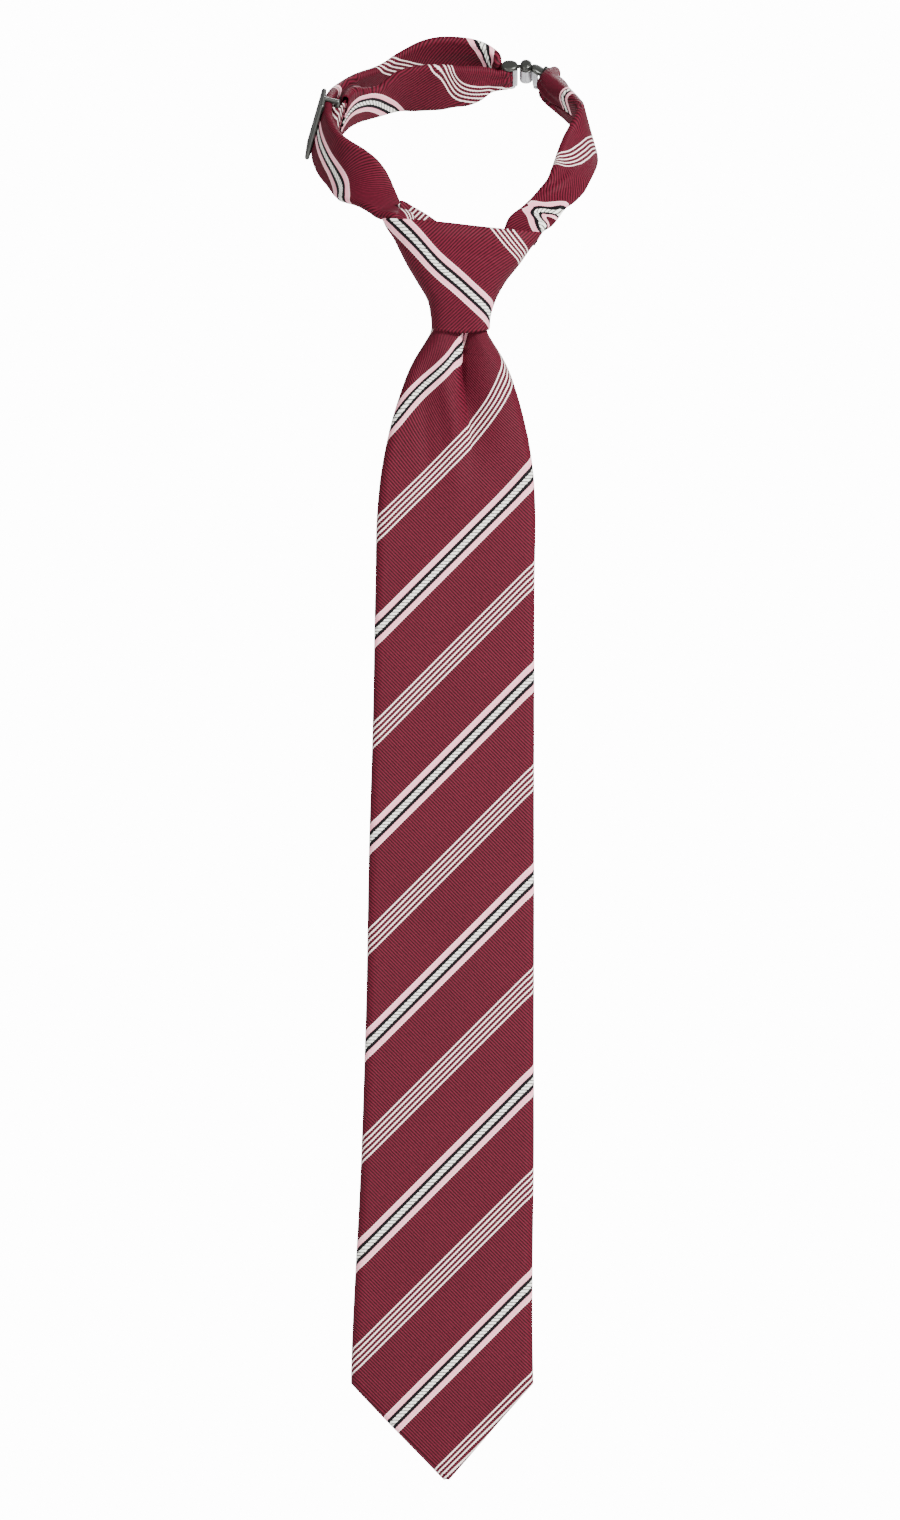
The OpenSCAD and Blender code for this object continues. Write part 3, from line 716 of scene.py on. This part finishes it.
def make_knot():
    """The wrapped front of the knot.

    Each row is a rounded section as wide as the knot at that height: the sides are round, the front swells by
    a shallow arc, and the back is flat. The first and last rows roll over the top and the mouth, and inside.
    """
    rows, columns = 150, 161
    turn = np.linspace(-math.pi, math.pi, columns)[None, :]
    v = np.concatenate([np.full(8, 0.0), np.linspace(0, 1, rows - 16), np.full(8, 1.0)])
    inside_top = np.concatenate([np.linspace(1, 0, 8, endpoint=False), np.zeros(rows - 8)])
    inside_foot = np.concatenate([np.zeros(rows - 8), np.linspace(0, 1, 9)[1:]])
    top_left, top_right = knot_top(np.array([-0.026, 0.026]))
    foot = -0.0354
    left = knot_sides(top_left * (1 - v) + foot * v)[0]
    right = knot_sides(top_right * (1 - v) + foot * v)[1]
    middle, half = (left + right)[:, None] / 2, (right - left)[:, None] / 2
    deep = ease(v, [(0, 14.6), (0.1, 16.2), (0.3, 16.4), (0.6, 14.6), (0.85, 13.2), (1, 12.4)])[:, None] * MM
    bend = np.abs(np.sin(turn))
    power_x, power_y = np.where(np.cos(turn) < 0, 0.16, 0.62), 0.8
    x_share = np.sign(np.sin(turn)) * bend**power_x
    y_share = np.sign(np.cos(turn)) * np.abs(np.cos(turn)) ** power_y
    x = middle + half * x_share
    back = -0.0004
    y = -deep / 2 - y_share * deep / 2 + back
    y = np.where(y_share < 0, np.minimum(y, back), y)
    z = knot_top(x) * (1 - v[:, None]) + knot_foot(x) * v[:, None]
    x = middle + (x - middle) * (1 - 0.16 * inside_top[:, None] - 0.14 * inside_foot[:, None])
    y = -deep / 2 + (y + deep / 2) * (1 - 0.985 * inside_top[:, None] - 0.14 * inside_foot[:, None])
    round_top = np.sin(np.clip(inside_top, 0, 1) * math.pi / 2)[:, None]
    round_foot = np.sin(np.clip(inside_foot, 0, 1) * math.pi / 2)[:, None]
    z = z - 0.0024 * round_top**2 + 0.0035 * round_foot**2
    front = np.clip(y_share, 0, 1) * (1 - round_top) * (1 - round_foot)
    crease = 0.35 * MM * hump((x / MM) + (z / MM) * 0.75 + 2.0, 14.0, 1.6)
    soft = 0.28 * MM * ripple(x / 0.03, z / 0.03, 21)
    y = y + front * (crease + soft)
    # The flat place is the distance round the knot from the middle of the front, and the height.
    step = np.diff(np.stack([x, y], -1), axis=1)
    run = np.concatenate([np.zeros((len(v), 1)), np.cumsum(np.linalg.norm(step, axis=-1), axis=1)], axis=1)
    run = run - run[:, columns // 2][:, None]
    centre_x = x[:, columns // 2][:, None]
    flat_x = (run + centre_x) * 0.94
    bent = 5.0 * MM * hump(x / MM, 26, 17) * hump(z / MM, -6, 14)
    bent = bent - 0.4 * MM * hump(x / MM, -17, 7) * hump(z / MM, -4, 12)
    bent = bent + 0.9 * MM * hump(x / MM, -7.5, 6.0) * hump(z / MM, -12, 10)
    weave = diagonal(flat_x, z + bent, -1, -0.01485)
    knot = surface("knot_wrap", np.stack([x, y, z], -1), weave)
    finish(knot, material("striped_silk"), bpy.context.scene.tie_sizes.fabric)
    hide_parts("knot_shell")
    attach(knot, "knot")

    core_row = np.linspace(16, rows - 17, 40).astype(int)
    core = np.stack([x, y, z], -1)[core_row, ::4][:, :-1]
    centre = np.stack([np.broadcast_to(middle[core_row], core.shape[:2]),
                       np.broadcast_to(-deep[core_row] / 2, core.shape[:2]), core[..., 2]], -1)
    core = centre + (core - centre) * np.array([0.84, 0.74, 1.0])
    ends = core.mean(1, keepdims=True).repeat(core.shape[1], 1)
    former = solid("former", [(np.concatenate([ends[:1], core, ends[-1:]]), False)])
    finish(former, material("moulded_plastic"))
    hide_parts("knot_former")
    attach(former, "knot")


# ---------------------------------------------------------------- neck strap

LOOP_R = 0.046
BAND_RISE = 0.0077
SLIDER_ANGLE = 176.0  # place of the slider round the loop, in degrees


def from_loop(sideways, back, rise):
    """Points from loop coordinates in metres: along X, back in the loop's plane and up square to it."""
    return (np.asarray(sideways)[..., None] * np.array([1.0, 0, 0]) + np.asarray(back)[..., None] * LOOP_BACK
            + np.asarray(rise)[..., None] * LOOP_UP)


def loop_rows(angle, radius, rise, lean):
    """Middles and directions across of a strap round the loop, at angles in degrees.

    The middle goes round at its radius and rise, and the direction across leans towards the neck.
    """
    a, tilt = np.radians(angle), np.radians(lean)
    out = np.stack([np.cos(a), np.sin(a)], -1)
    middles = LOOP_MIDDLE + from_loop(radius * out[:, 0], radius * out[:, 1], rise)
    across = from_loop(-np.sin(tilt) * out[:, 0], -np.sin(tilt) * out[:, 1], np.cos(tilt))
    return middles, across


def evenly(rows, *tables):
    """Smoothly repeats tables of key rows at evenly spaced places along the first one's path."""
    keys = tables[0]
    length = run_length(keys)
    place = np.linspace(0, length[-1], rows)
    out = [place]
    for table in tables:
        table = table if table.ndim > 1 else table[:, None]
        smooth = np.stack([ease(place, np.stack([length, column], 1)) for column in table.T], -1)
        out.append(smooth if smooth.shape[1] > 1 else smooth[:, 0])
    return out


def even_rows(count, *rows):
    """A strap's rows (middles, directions across, widths, thicknesses) repeated at even places along it."""
    _, middles, across, width, thick = evenly(count, *rows)
    return middles, unit(across), width, thick


def cloth_strap(name, rows, table, node, carry, folds=None, front=1, seam=0.0):
    """Builds a strap from its rows, gives it its stripes and fabric, hands it to carry, and replaces its CAD node.
    """
    middles, across, width, thick = rows
    square, facing = path_frames(middles, across)
    x, y, flat = flat_tube(width, thick, 73, seam=seam)
    y = -y * front
    length = run_length(middles)
    if folds is not None:
        move_x, move_y = folds(x / (width[:, None] / 2), length[:, None], np.sign(y))
        x, y = x + move_x, y + move_y
    points = middles[:, None] + x[..., None] * square[:, None] + y[..., None] * facing[:, None]
    weave = slanted(length, flat, table)
    if front < 0:
        points, weave = points[:, ::-1], weave[:, ::-1]
    piece = surface(name, points, weave)
    finish(piece, material("striped_silk"), bpy.context.scene.tie_sizes.fabric)
    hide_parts(node)
    float((2 * width.mean() + 0.002) * length[-1])
    carry(piece)


def strap_canvas(name, rows, node, carry):
    """The strip of canvas inside a strap: straight rows a little narrower than it."""
    middles, across, width, _ = rows
    square, _ = path_frames(middles, across)
    share = np.linspace(-1, 1, 7)[None, :, None]
    reach = (width / 2 - 0.0016)[:, None, None]
    points = middles[:, None] + share * reach * square[:, None]
    length = run_length(middles)
    weave = np.stack(np.broadcast_arrays(share[..., 0] * reach[..., 0], length[:, None]), -1)
    piece = surface(name, points, weave)
    finish(piece, material("canvas_cloth"), 0.0004, 0.0)
    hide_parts(node)
    float(2 * reach.mean() * length[-1])
    carry(piece)


def from_clasp(bar, x, y):
    """Points beside a clasp bar: x sideways and y to the back of it, in metres."""
    return bar + np.array([x, 0, 0]) + y * CLASP_BACK


def left_rows():
    """The outer run: from the clasp eye round the back and the left side to the knot."""
    angle = np.linspace(74, 243, 120)
    radius = ease(angle, [(66, 40.9), (80, 43.7), (110, 46.0), (212, 46.0), (224, 46.5), (236, 49.5),
                          (243, 53.0)]) * MM
    lean = ease(angle, [(66, 0), (110, 6), (140, 14), (204, 14), (221, 45), (234, 80), (243, 98)])
    rise = ease(angle, [(66, 7.7), (74, 9.5), (82, 10.7), (92, 10.1), (102, 8.9), (110, 6.7), (120, 4.7),
                        (128, 4.3), (140, 5.4), (152, 6.4), (163, 7.4), (206, 7.7), (225, 7.0), (236, 5.4),
                        (243, 4.4)]) * MM
    middles, across = loop_rows(angle, radius, rise, lean)
    width = ease(angle, [(66, 7.2), (78, 11.2), (100, 16.2), (112, 16.9), (127, 14.8), (142, 15.2),
                         (154, 15.6), (166, 17.6), (222, 18.0), (230, 16.6), (236, 14.2), (243, 12.0)]) * MM
    thick = ease(angle, [(66, 1.5), (80, 2.6), (110, 2.1), (243, 2.2)]) * MM
    start = np.array([from_clasp(EYE_BAR, 0.0001, 0.0017), from_clasp(EYE_BAR, -0.0018, 0.0021)])
    end = np.array([[-0.0196, -0.0065, 0.0014], [-0.0176, -0.0078, -0.0045]])
    end_across = unit(np.array([[0.55, 0.83, 0.1], [0.5, 0.86, 0.0]]))
    middles = np.concatenate([start, middles, end])
    across = np.concatenate([[CLASP_UP, CLASP_UP], across, end_across])
    width = np.concatenate([[0.0072, 0.0074], width, [0.0105, 0.0085]])
    thick = np.concatenate([[0.0014, 0.0016], thick, [0.0022, 0.0022]])
    return even_rows(220, middles, across, width, thick)


def inner_rows():
    """The inner run: from behind the slider's middle bar to the clasp eye, and round its bar."""
    angle = np.linspace(168.5, 74, 92)
    radius = ease(angle, [(68, 38.2), (74, 34.0), (82, 30.2), (92, 29.0), (104, 29.2), (116, 31.5),
                          (128, 34.6), (142, 37.4), (155, 39.5), (165, 40.4)]) * MM
    lean = ease(angle, [(68, 0), (110, 0), (135, 11), (165, 12)])
    rise = ease(angle, [(68, 7.7), (98, 8.0), (122, 7.1), (138, 4.8), (150, 5.9), (160, 7.4),
                        (170, 7.7)]) * MM
    middles, across = loop_rows(angle, radius, rise, lean)
    width = ease(angle, [(68, 7.0), (74, 9.6), (77, 11.8), (82, 13.6), (92, 14.8), (105, 16.4),
                         (122, 16.2), (138, 12.6), (150, 13.7), (160, 17.6), (170, 17.6)]) * MM
    thick = ease(angle, [(68, 1.5), (80, 2.4), (98, 2.2), (165, 2.0)]) * MM
    turn = np.radians(np.linspace(-100, 80, 22))
    turn = turn[:, None]
    wrap = EYE_BAR + 0.0017 * (np.cos(turn) * np.array([1.0, 0, 0]) + np.sin(turn) * CLASP_BACK)
    middles = np.concatenate([middles, [from_clasp(EYE_BAR, -0.0020, -0.0021)], wrap])
    across = np.concatenate([across, np.tile(CLASP_UP, (23, 1))])
    width = np.concatenate([width, np.full(23, 0.0072)])
    thick = np.concatenate([thick, np.full(23, 0.0014)])
    return even_rows(160, middles, across, width, thick)


def right_rows():
    """The right strap: from the clasp hook round the right side to the knot."""
    keys = np.array([[29.8, 76, 8.2, 14, 11], [32.4, 70.5, 8.2, 17, 12], [35.6, 64.5, 8.0, 14, 13.2],
                     [38.8, 58, 7.9, 12, 14.6], [41.0, 52, 7.8, 13, 16.4], [41.4, 46, 7.6, 18, 17.0],
                     [40.7, 40, 7.3, 28, 16.6], [39.0, 33, 6.9, 40, 15.4], [37.2, 25.5, 6.4, 47, 14.2],
                     [35.4, 18.5, 5.7, 52, 13], [33.0, 12.5, 5, 60, 11.2], [30.2, 8.3, 4.3, 75, 11.0]])
    out = unit(np.stack([keys[:, 0] + 1, keys[:, 1] - 48], -1))
    tilt = np.radians(keys[:, 3])
    base = LOOP_MIDDLE - from_loop(np.array([-0.001]), np.array([0.048]), np.array([0.0]))[0]
    middles = base + from_loop(keys[:, 0] * MM, keys[:, 1] * MM, keys[:, 2] * MM)
    across = from_loop(-np.sin(tilt) * out[:, 0], -np.sin(tilt) * out[:, 1], np.cos(tilt))
    start = np.array([from_clasp(HOOK_BAR, 0.0004, -0.0017), from_clasp(HOOK_BAR, 0.0026, -0.0026)])
    end = np.array([[0.0254, 0.0005, 0.0024], [0.0212, -0.0040, -0.0010], [0.0190, -0.0058, -0.0058]])
    end_across = unit(np.array([[-0.8, 0.3, 0.45], [-0.9, 0.25, 0.2], [-0.97, 0.2, 0.0]]))
    middles = np.concatenate([start, middles, end])
    across = np.concatenate([[CLASP_UP, CLASP_UP], across, end_across])
    width = np.concatenate([[9.4, 11.2], keys[:, 4], [11.6, 12.2, 11.0]]) * MM
    gathered = [1.4, 2.2, 6.6, 6.4, 4.6, 3.0, 2.3]
    thick = np.concatenate([gathered, np.full(len(keys) - 5, 2.1), [2.2, 2.2, 2.2]]) * MM
    return even_rows(150, middles, across, width, thick)


def pleats(near_clasp, reach, depth):
    """Folds that run along the strap and fade away from the clasp end."""
    def folds(share, length, side):
        fade = np.exp(-np.abs(length - near_clasp) / reach)
        press = depth * fade * np.cos(share * 7.5 + 0.6) * (1 - share**2)
        return 0 * share, press
    return folds


def bunched(share, length, side):
    """Deep folds where the right strap is gathered below the clasp, and one long soft fold above the knot."""
    gather = hump(length / MM, 9, 9)
    press = 0.9 * MM * gather * np.cos(share * 9.0 + length / MM * 0.35) * (1 - share**2)
    fold = 0.8 * MM * hump(length / MM, 70, 10) * hump(share, 0.1 + (length / MM - 70) * 0.03, 0.2)
    return 0 * share, press + fold * side


def make_wrap_under():
    """The bit of the band that shows behind the knot's left corner: a bowed patch under a falling edge."""
    x = np.linspace(-20.5, -7.5, 40)[None, :]
    rise = np.linspace(0, 1, 24)[:, None]
    crest = ease(x[0], [(-22, 7.4), (-19.5, 7.2), (-16, 5.2), (-12, 2.9), (-7.5, -0.2)])[None, :]
    z = -3.5 + rise * (crest + 3.5)
    y = -3.4 - 0.9 * np.sin(rise * math.pi) - 0.5 * np.cos(x * 0.5)
    grid = np.stack(np.broadcast_arrays(x, y, z), -1) * MM
    weave = diagonal(grid[..., 0], grid[..., 2], 1, 0.0123 - 0.0238)
    patch = surface("wrap_under", grid, weave)
    finish(patch, material("striped_silk"), 0.0009)
    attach(patch, "knot")


def make_neck_strap():
    """The left strap, its inner run back to the slider, the right strap, and the canvas in both straps."""
    make_wrap_under()
    rows = left_rows()
    stripes = [(-4, -63.2), (0, -60.4), (11, -52.6), (28, -41.6), (45, -30.0), (58, -20.8), (64, -17.0),
               (70, -11.0), (74, -5.6), (78, -2.0), (84, -1.1), (90, -1.0), (100, -0.4), (107, 0.4),
               (116, 2.4), (124, 5.2), (130, 8.2), (137, 12.0),
               (143, 15.8), (149, 19.0), (160, 23.0)]
    cloth_strap("left_strap", rows, stripes, "left_strap_shell", lambda piece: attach(piece, "knot"),
                pleats(0.0, 0.016, 0.0004), seam=0.0045)
    strap_canvas("left_strap_canvas", rows, "left_strap_interlining", lambda piece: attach(piece, "knot"))

    rows = inner_rows()
    stripes = [(-2, 1.2), (2, 0.8), (7, -0.8), (12, -1.9), (17, -1.6), (21, 0.0), (26, 3.6), (31, 8.0),
               (36, 12.6), (42, 17.7), (51, 25.0), (56, 26.9), (60, 27.8), (72, 31.0)]

    def run_blend(piece):
        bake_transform(piece)
    cloth_strap("inner_run", rows, stripes, "strap_inner_run", run_blend, pleats(0.075, 0.016, 0.0004))

    rows = right_rows()
    stripes = [(-2, 52.2), (0, 52.4), (6, 52.6), (12, 52.0), (18, 49.6), (24, 44.4), (29, 38.6), (34, 32.6),
               (40, 28.4), (46, 25.6), (53, 23.9), (60, 21.7), (66, 18.4), (72, 13.4), (78, 8.2), (84, 3.4),
               (88, 0.0), (89, -0.6), (90, -0.2), (94, 3.0), (100, 7.6)]

    def right_blend(piece):
        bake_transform(piece)
    cloth_strap("right_strap", rows, stripes, "right_strap_shell", right_blend, bunched, front=-1)
    strap_canvas("right_strap_canvas", rows, "right_strap_interlining", right_blend)


# ---------------------------------------------------------------- clasp and sewn ends

CLASP_AXES = np.array([[1.0, 0.0, 0.0], CLASP_BACK, CLASP_UP])
POST = EYE_BAR + np.array([0.0073, 0.0, 0.0])


def clasp_block(place, half, plan, profile, turn=0.0):
    """A rounded block of the clasp, in mm from the post, turned by degrees about the clasp's back axis."""
    c, s = math.cos(math.radians(turn)), math.sin(math.radians(turn))
    axes = np.array([[c, 0, -s], [0, 1, 0], [s, 0, c]]) @ CLASP_AXES
    return pebble(POST + np.array(place) * MM @ CLASP_AXES, np.array(half) * MM, axes, plan, profile)


def make_clasp():
    """Eye and hook: a strap bar and a column between two oval plates, with a post on the eye in a collar."""
    eye = solid("clasp_eye_metal", [
        clasp_block((-5.5, 0, 4.6), (2.75, 2.6, 0.95), 0.9, 0.6),
        clasp_block((-5.5, 0, -4.0), (2.0, 1.2, 0.5), 0.85, 0.5),
        clasp_block((-3.7, 0, 0.4), (0.95, 1.15, 3.9), 0.5, 0.3),
        clasp_block((-7.3, 0, 0), (0.8, 0.8, 4.5), 1.0, 0.2),
        clasp_block((-1.9, 0, 4.35), (2.3, 0.75, 0.42), 0.4, 0.4),
        clasp_block((0, 0, 4.75), (1.95, 2.5, 1.1), 1.0, 0.45),
        clasp_block((0, 0, 5.65), (1.45, 1.9, 0.35), 1.0, 0.5),
        clasp_block((0, 0, 1.6), (0.78, 0.78, 2.9), 1.0, 0.25)])
    hook = solid("clasp_hook_metal", [
        collar(POST + 1.1 * MM * CLASP_UP, 0.0015, 0.0022, 0.0025, CLASP_AXES),
        clasp_block((2.55, 0, 1.1), (0.75, 1.05, 2.3), 0.4, 0.3),
        clasp_block((3.1, 0, -0.1), (0.95, 1.15, 3.4), 0.5, 0.3),
        clasp_block((6.7, 0, -0.4), (0.8, 0.8, 4.5), 1.0, 0.2),
        clasp_block((4.2, 0, 2.7), (2.9, 2.3, 0.9), 0.9, 0.6, 32.0),
        clasp_block((4.6, 0, -4.2), (2.2, 1.2, 0.5), 0.85, 0.5)])
    for piece, node, body in ((eye, "clasp_eye", "eye"), (hook, "clasp_hook", "hook")):
        finish(piece, material("clasp_metal"))
        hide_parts(node)
        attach(piece, body)


def folded_strip(name, path, low, high, origin, axes, thick, node, body, stripe):
    """A strip of fabric folded along a path of local (x, y) points, from low to high on the third axis, in mm."""
    path = np.array(path)
    length = run_length(path)
    place = np.linspace(0, length[-1], 70)
    x, y = (np.interp(place, length, column)[:, None] for column in path.T)
    z = np.linspace(low, high, 25)[None, :]
    local = np.stack(np.broadcast_arrays(x, y, z), -1) * MM
    weave = diagonal(np.broadcast_to(place[:, None] * MM, local.shape[:2]), local[..., 2], 1, stripe)
    piece = surface(name, origin + local @ axes, weave)
    finish(piece, material("striped_silk"), thick, 0.0)
    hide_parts(node)
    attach(piece, body)


def make_strap_ends():
    """The sewn end round the slider's middle bar, and the right strap's end round the hook's bar."""
    turn = np.radians(np.linspace(180, 0, 24))
    bend = np.stack([1.3 * np.cos(turn), 1.3 * np.sin(turn)], -1)
    path = np.concatenate([[[-1.3, -7.4]], bend, [[1.3, -7.4]]])
    angle = math.radians(SLIDER_ANGLE)
    out = np.array([math.cos(angle), math.sin(angle), 0.0])
    along = np.array([-math.sin(angle), math.cos(angle), 0.0])
    lean = swing = math.radians(14.0)
    outward = math.cos(lean) * out + math.sin(lean) * np.array([0, 0, 1.0])
    rising = math.cos(lean) * np.array([0, 0, 1.0]) - math.sin(lean) * out
    place = LOOP_R * out + np.array([0, 0, BAND_RISE]) - 2.9 * MM * outward
    local = np.array([math.cos(swing) * outward - math.sin(swing) * along,
                      math.sin(swing) * outward + math.cos(swing) * along, rising])
    world = np.array([[1.0, 0, 0], LOOP_BACK, LOOP_UP])
    folded_strip("end_loop", path, -8.5, 8.5, LOOP_MIDDLE + place @ world, local @ world, 0.00055,
                 "strap_end_loop", "slider", -0.0234)
    turn = np.radians(np.linspace(-90, -270, 24))
    bend = np.stack([1.7 * np.cos(turn), 1.7 * np.sin(turn)], -1)
    path = np.concatenate([[[2.0, -1.7]], bend, [[3.2, 1.7]]])
    stitch_half = np.array([0.8, 0.25, 0.25]) * MM
    stitches = solid("hook_stitches", [
        pebble(HOOK_BAR + np.array([2.2, 2.45, height]) * MM @ CLASP_AXES, stitch_half, CLASP_AXES,
               rows=9, columns=12) for height in (-2.7, -0.5, 1.7)])
    finish(stitches, material("thread"))
    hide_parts("right_strap_stitch")
    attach(stitches, "right_band")
    folded_strip("hook_turn", path, -3.6, 2.6, HOOK_BAR, CLASP_AXES, 0.0013,
                 "right_strap_turn", "right_band", 0.01)


# ---------------------------------------------------------------- operators and panel

class TIE_OT_materials(bpy.types.Operator):
    """Makes the fabrics, threads and metals"""
    bl_idname = "tie.materials"
    bl_label = "Materials"

    def execute(self, context):
        MATERIALS.update(
            striped_silk=striped_silk(), canvas_cloth=canvas_cloth(), lining_satin=lining_satin(),
            thread=sewing_thread("sewing_thread", (0.19, 0.022, 0.045)), label_tape=label_tape(),
            moulded_plastic=moulded_plastic(), gunmetal=plated_metal("gunmetal", None),
            clasp_metal=plated_metal("clasp_metal", 0.0034))
        return {"FINISHED"}


class TIE_OT_blade(bpy.types.Operator):
    """Makes the blade's cover, its layers and its label"""
    bl_idname = "tie.blade"
    bl_label = "Blade"

    def execute(self, context):
        make_blade_cover()
        make_blade_layers()
        make_label()
        return {"FINISHED"}


class TIE_OT_knot(bpy.types.Operator):
    """Makes the wrapped knot"""
    bl_idname = "tie.knot"
    bl_label = "Knot"

    def execute(self, context):
        make_knot()
        return {"FINISHED"}


class TIE_OT_neck_strap(bpy.types.Operator):
    """Makes the two halves of the neck strap and their canvas"""
    bl_idname = "tie.neck_strap"
    bl_label = "Neck Strap"

    def execute(self, context):
        make_neck_strap()
        return {"FINISHED"}


class TIE_OT_fittings(bpy.types.Operator):
    """Makes the clasp and the sewn strap ends, and gives the slider and the thread their finishes"""
    bl_idname = "tie.fittings"
    bl_label = "Fittings"

    def execute(self, context):
        make_clasp()
        make_strap_ends()
        finishes = {"slider_frame": "gunmetal", "band_tacks": "thread",
                    "blade_slip_stitch": "thread", "blade_bar_tacks": "thread", "strap_end_stitch": "thread"}
        for node, name in finishes.items():
            slots = frame["nodes"][node].data.materials
            slots.clear()
            slots.append(material(name))
        return {"FINISHED"}


class TIE_OT_stage(bpy.types.Operator):
    """Makes the pale floor, the soft lights and the camera"""
    bl_idname = "tie.stage"
    bl_label = "Stage"

    def execute(self, context):
        make_floor()
        make_lights()
        make_camera()
        return {"FINISHED"}


def make_floor():
    """A wide pale floor below the tie: a flat square grid."""
    side = np.linspace(-1.6, 1.6, 9)
    grid = np.stack(np.broadcast_arrays(side[None, :], side[:, None], np.float64(-0.52)), -1)
    floor = surface("floor", grid[::-1])
    pale = Finish("pale_floor", Roughness=0.9)
    speckle = pale.noise(pale.object_place(), 60.0, 2.0)
    pale.set("Base Color", pale.blend(speckle, (0.90, 0.90, 0.90), (0.93, 0.93, 0.93)))
    floor.data.materials.append(pale.material)


def area_light(name, place, aim, size, power):
    lamp = bpy.data.lights.new(name, "AREA")
    lamp.shape = "DISK"
    lamp.size = size
    lamp.energy = power
    holder = bpy.data.objects.new(name, lamp)
    bpy.context.scene.collection.objects.link(holder)
    holder.location = place
    holder.rotation_euler = (Vector(aim) - Vector(place)).to_track_quat("-Z", "Y").to_euler()


def make_lights():
    world = bpy.data.worlds.new("studio")
    world.use_nodes = True
    nodes, links = world.node_tree.nodes, world.node_tree.links
    seen = nodes.new("ShaderNodeLightPath")
    strength = nodes.new("ShaderNodeMapRange")
    strength.inputs["To Min"].default_value = 0.62
    strength.inputs["To Max"].default_value = 14.0
    links.new(seen.outputs["Is Camera Ray"], strength.inputs["Value"])
    links.new(strength.outputs[0], nodes["Background"].inputs["Strength"])
    nodes["Background"].inputs["Color"].default_value = (1.0, 1.0, 1.0, 1.0)
    bpy.context.scene.world = world
    area_light("key", (1.2, -1.3, 0.9), (0, 0, -0.15), 0.5, 125.0)
    area_light("fill", (-1.3, -1.4, 0.1), (0, 0, -0.2), 0.9, 22.0)
    area_light("back", (0.3, 1.6, 0.8), (0, 0, -0.1), 0.8, 30.0)


def make_camera():
    """A long lens straight in front, so that the frame's height spans half a metre at the tie."""
    lens, height = 900.0, 0.5067
    camera = bpy.data.cameras.new("camera")
    camera.lens = lens
    camera.sensor_width = 36.0
    holder = bpy.data.objects.new("camera", camera)
    bpy.context.scene.collection.objects.link(holder)
    distance = height / 2 * lens / 18.0
    holder.location = (-0.004, -0.008 - distance, -0.1793)
    holder.rotation_euler = (math.pi / 2, 0, 0)
    camera.clip_end = 50.0
    bpy.context.scene.camera = holder


STEPS = (TIE_OT_stage, TIE_OT_materials, TIE_OT_blade, TIE_OT_knot, TIE_OT_neck_strap, TIE_OT_fittings)


class TIE_PT_panel(bpy.types.Panel):
    """The necktie's steps and sizes"""
    bl_idname = "TIE_PT_panel"
    bl_label = "Necktie"
    bl_space_type = "VIEW_3D"
    bl_region_type = "UI"
    bl_category = "Necktie"

    def draw(self, context):
        for step in STEPS:
            self.layout.operator(step.bl_idname)
        for group in (context.scene.tie_sizes, context.scene.tie_colours):
            for name in group.__annotations__:
                self.layout.prop(group, name)


CLASSES = (TieSizes, TieColours, *STEPS, TIE_PT_panel)


def register():
    for item in CLASSES:
        bpy.utils.register_class(item)
    bpy.types.Scene.tie_sizes = PointerProperty(type=TieSizes)
    bpy.types.Scene.tie_colours = PointerProperty(type=TieColours)


def unregister():
    del bpy.types.Scene.tie_colours
    del bpy.types.Scene.tie_sizes
    for item in reversed(CLASSES):
        bpy.utils.unregister_class(item)


def main():
    register()
    for step in STEPS:
        group, name = step.bl_idname.split(".")
        getattr(getattr(bpy.ops, group), name)()


if __name__ == "__main__":
    main()
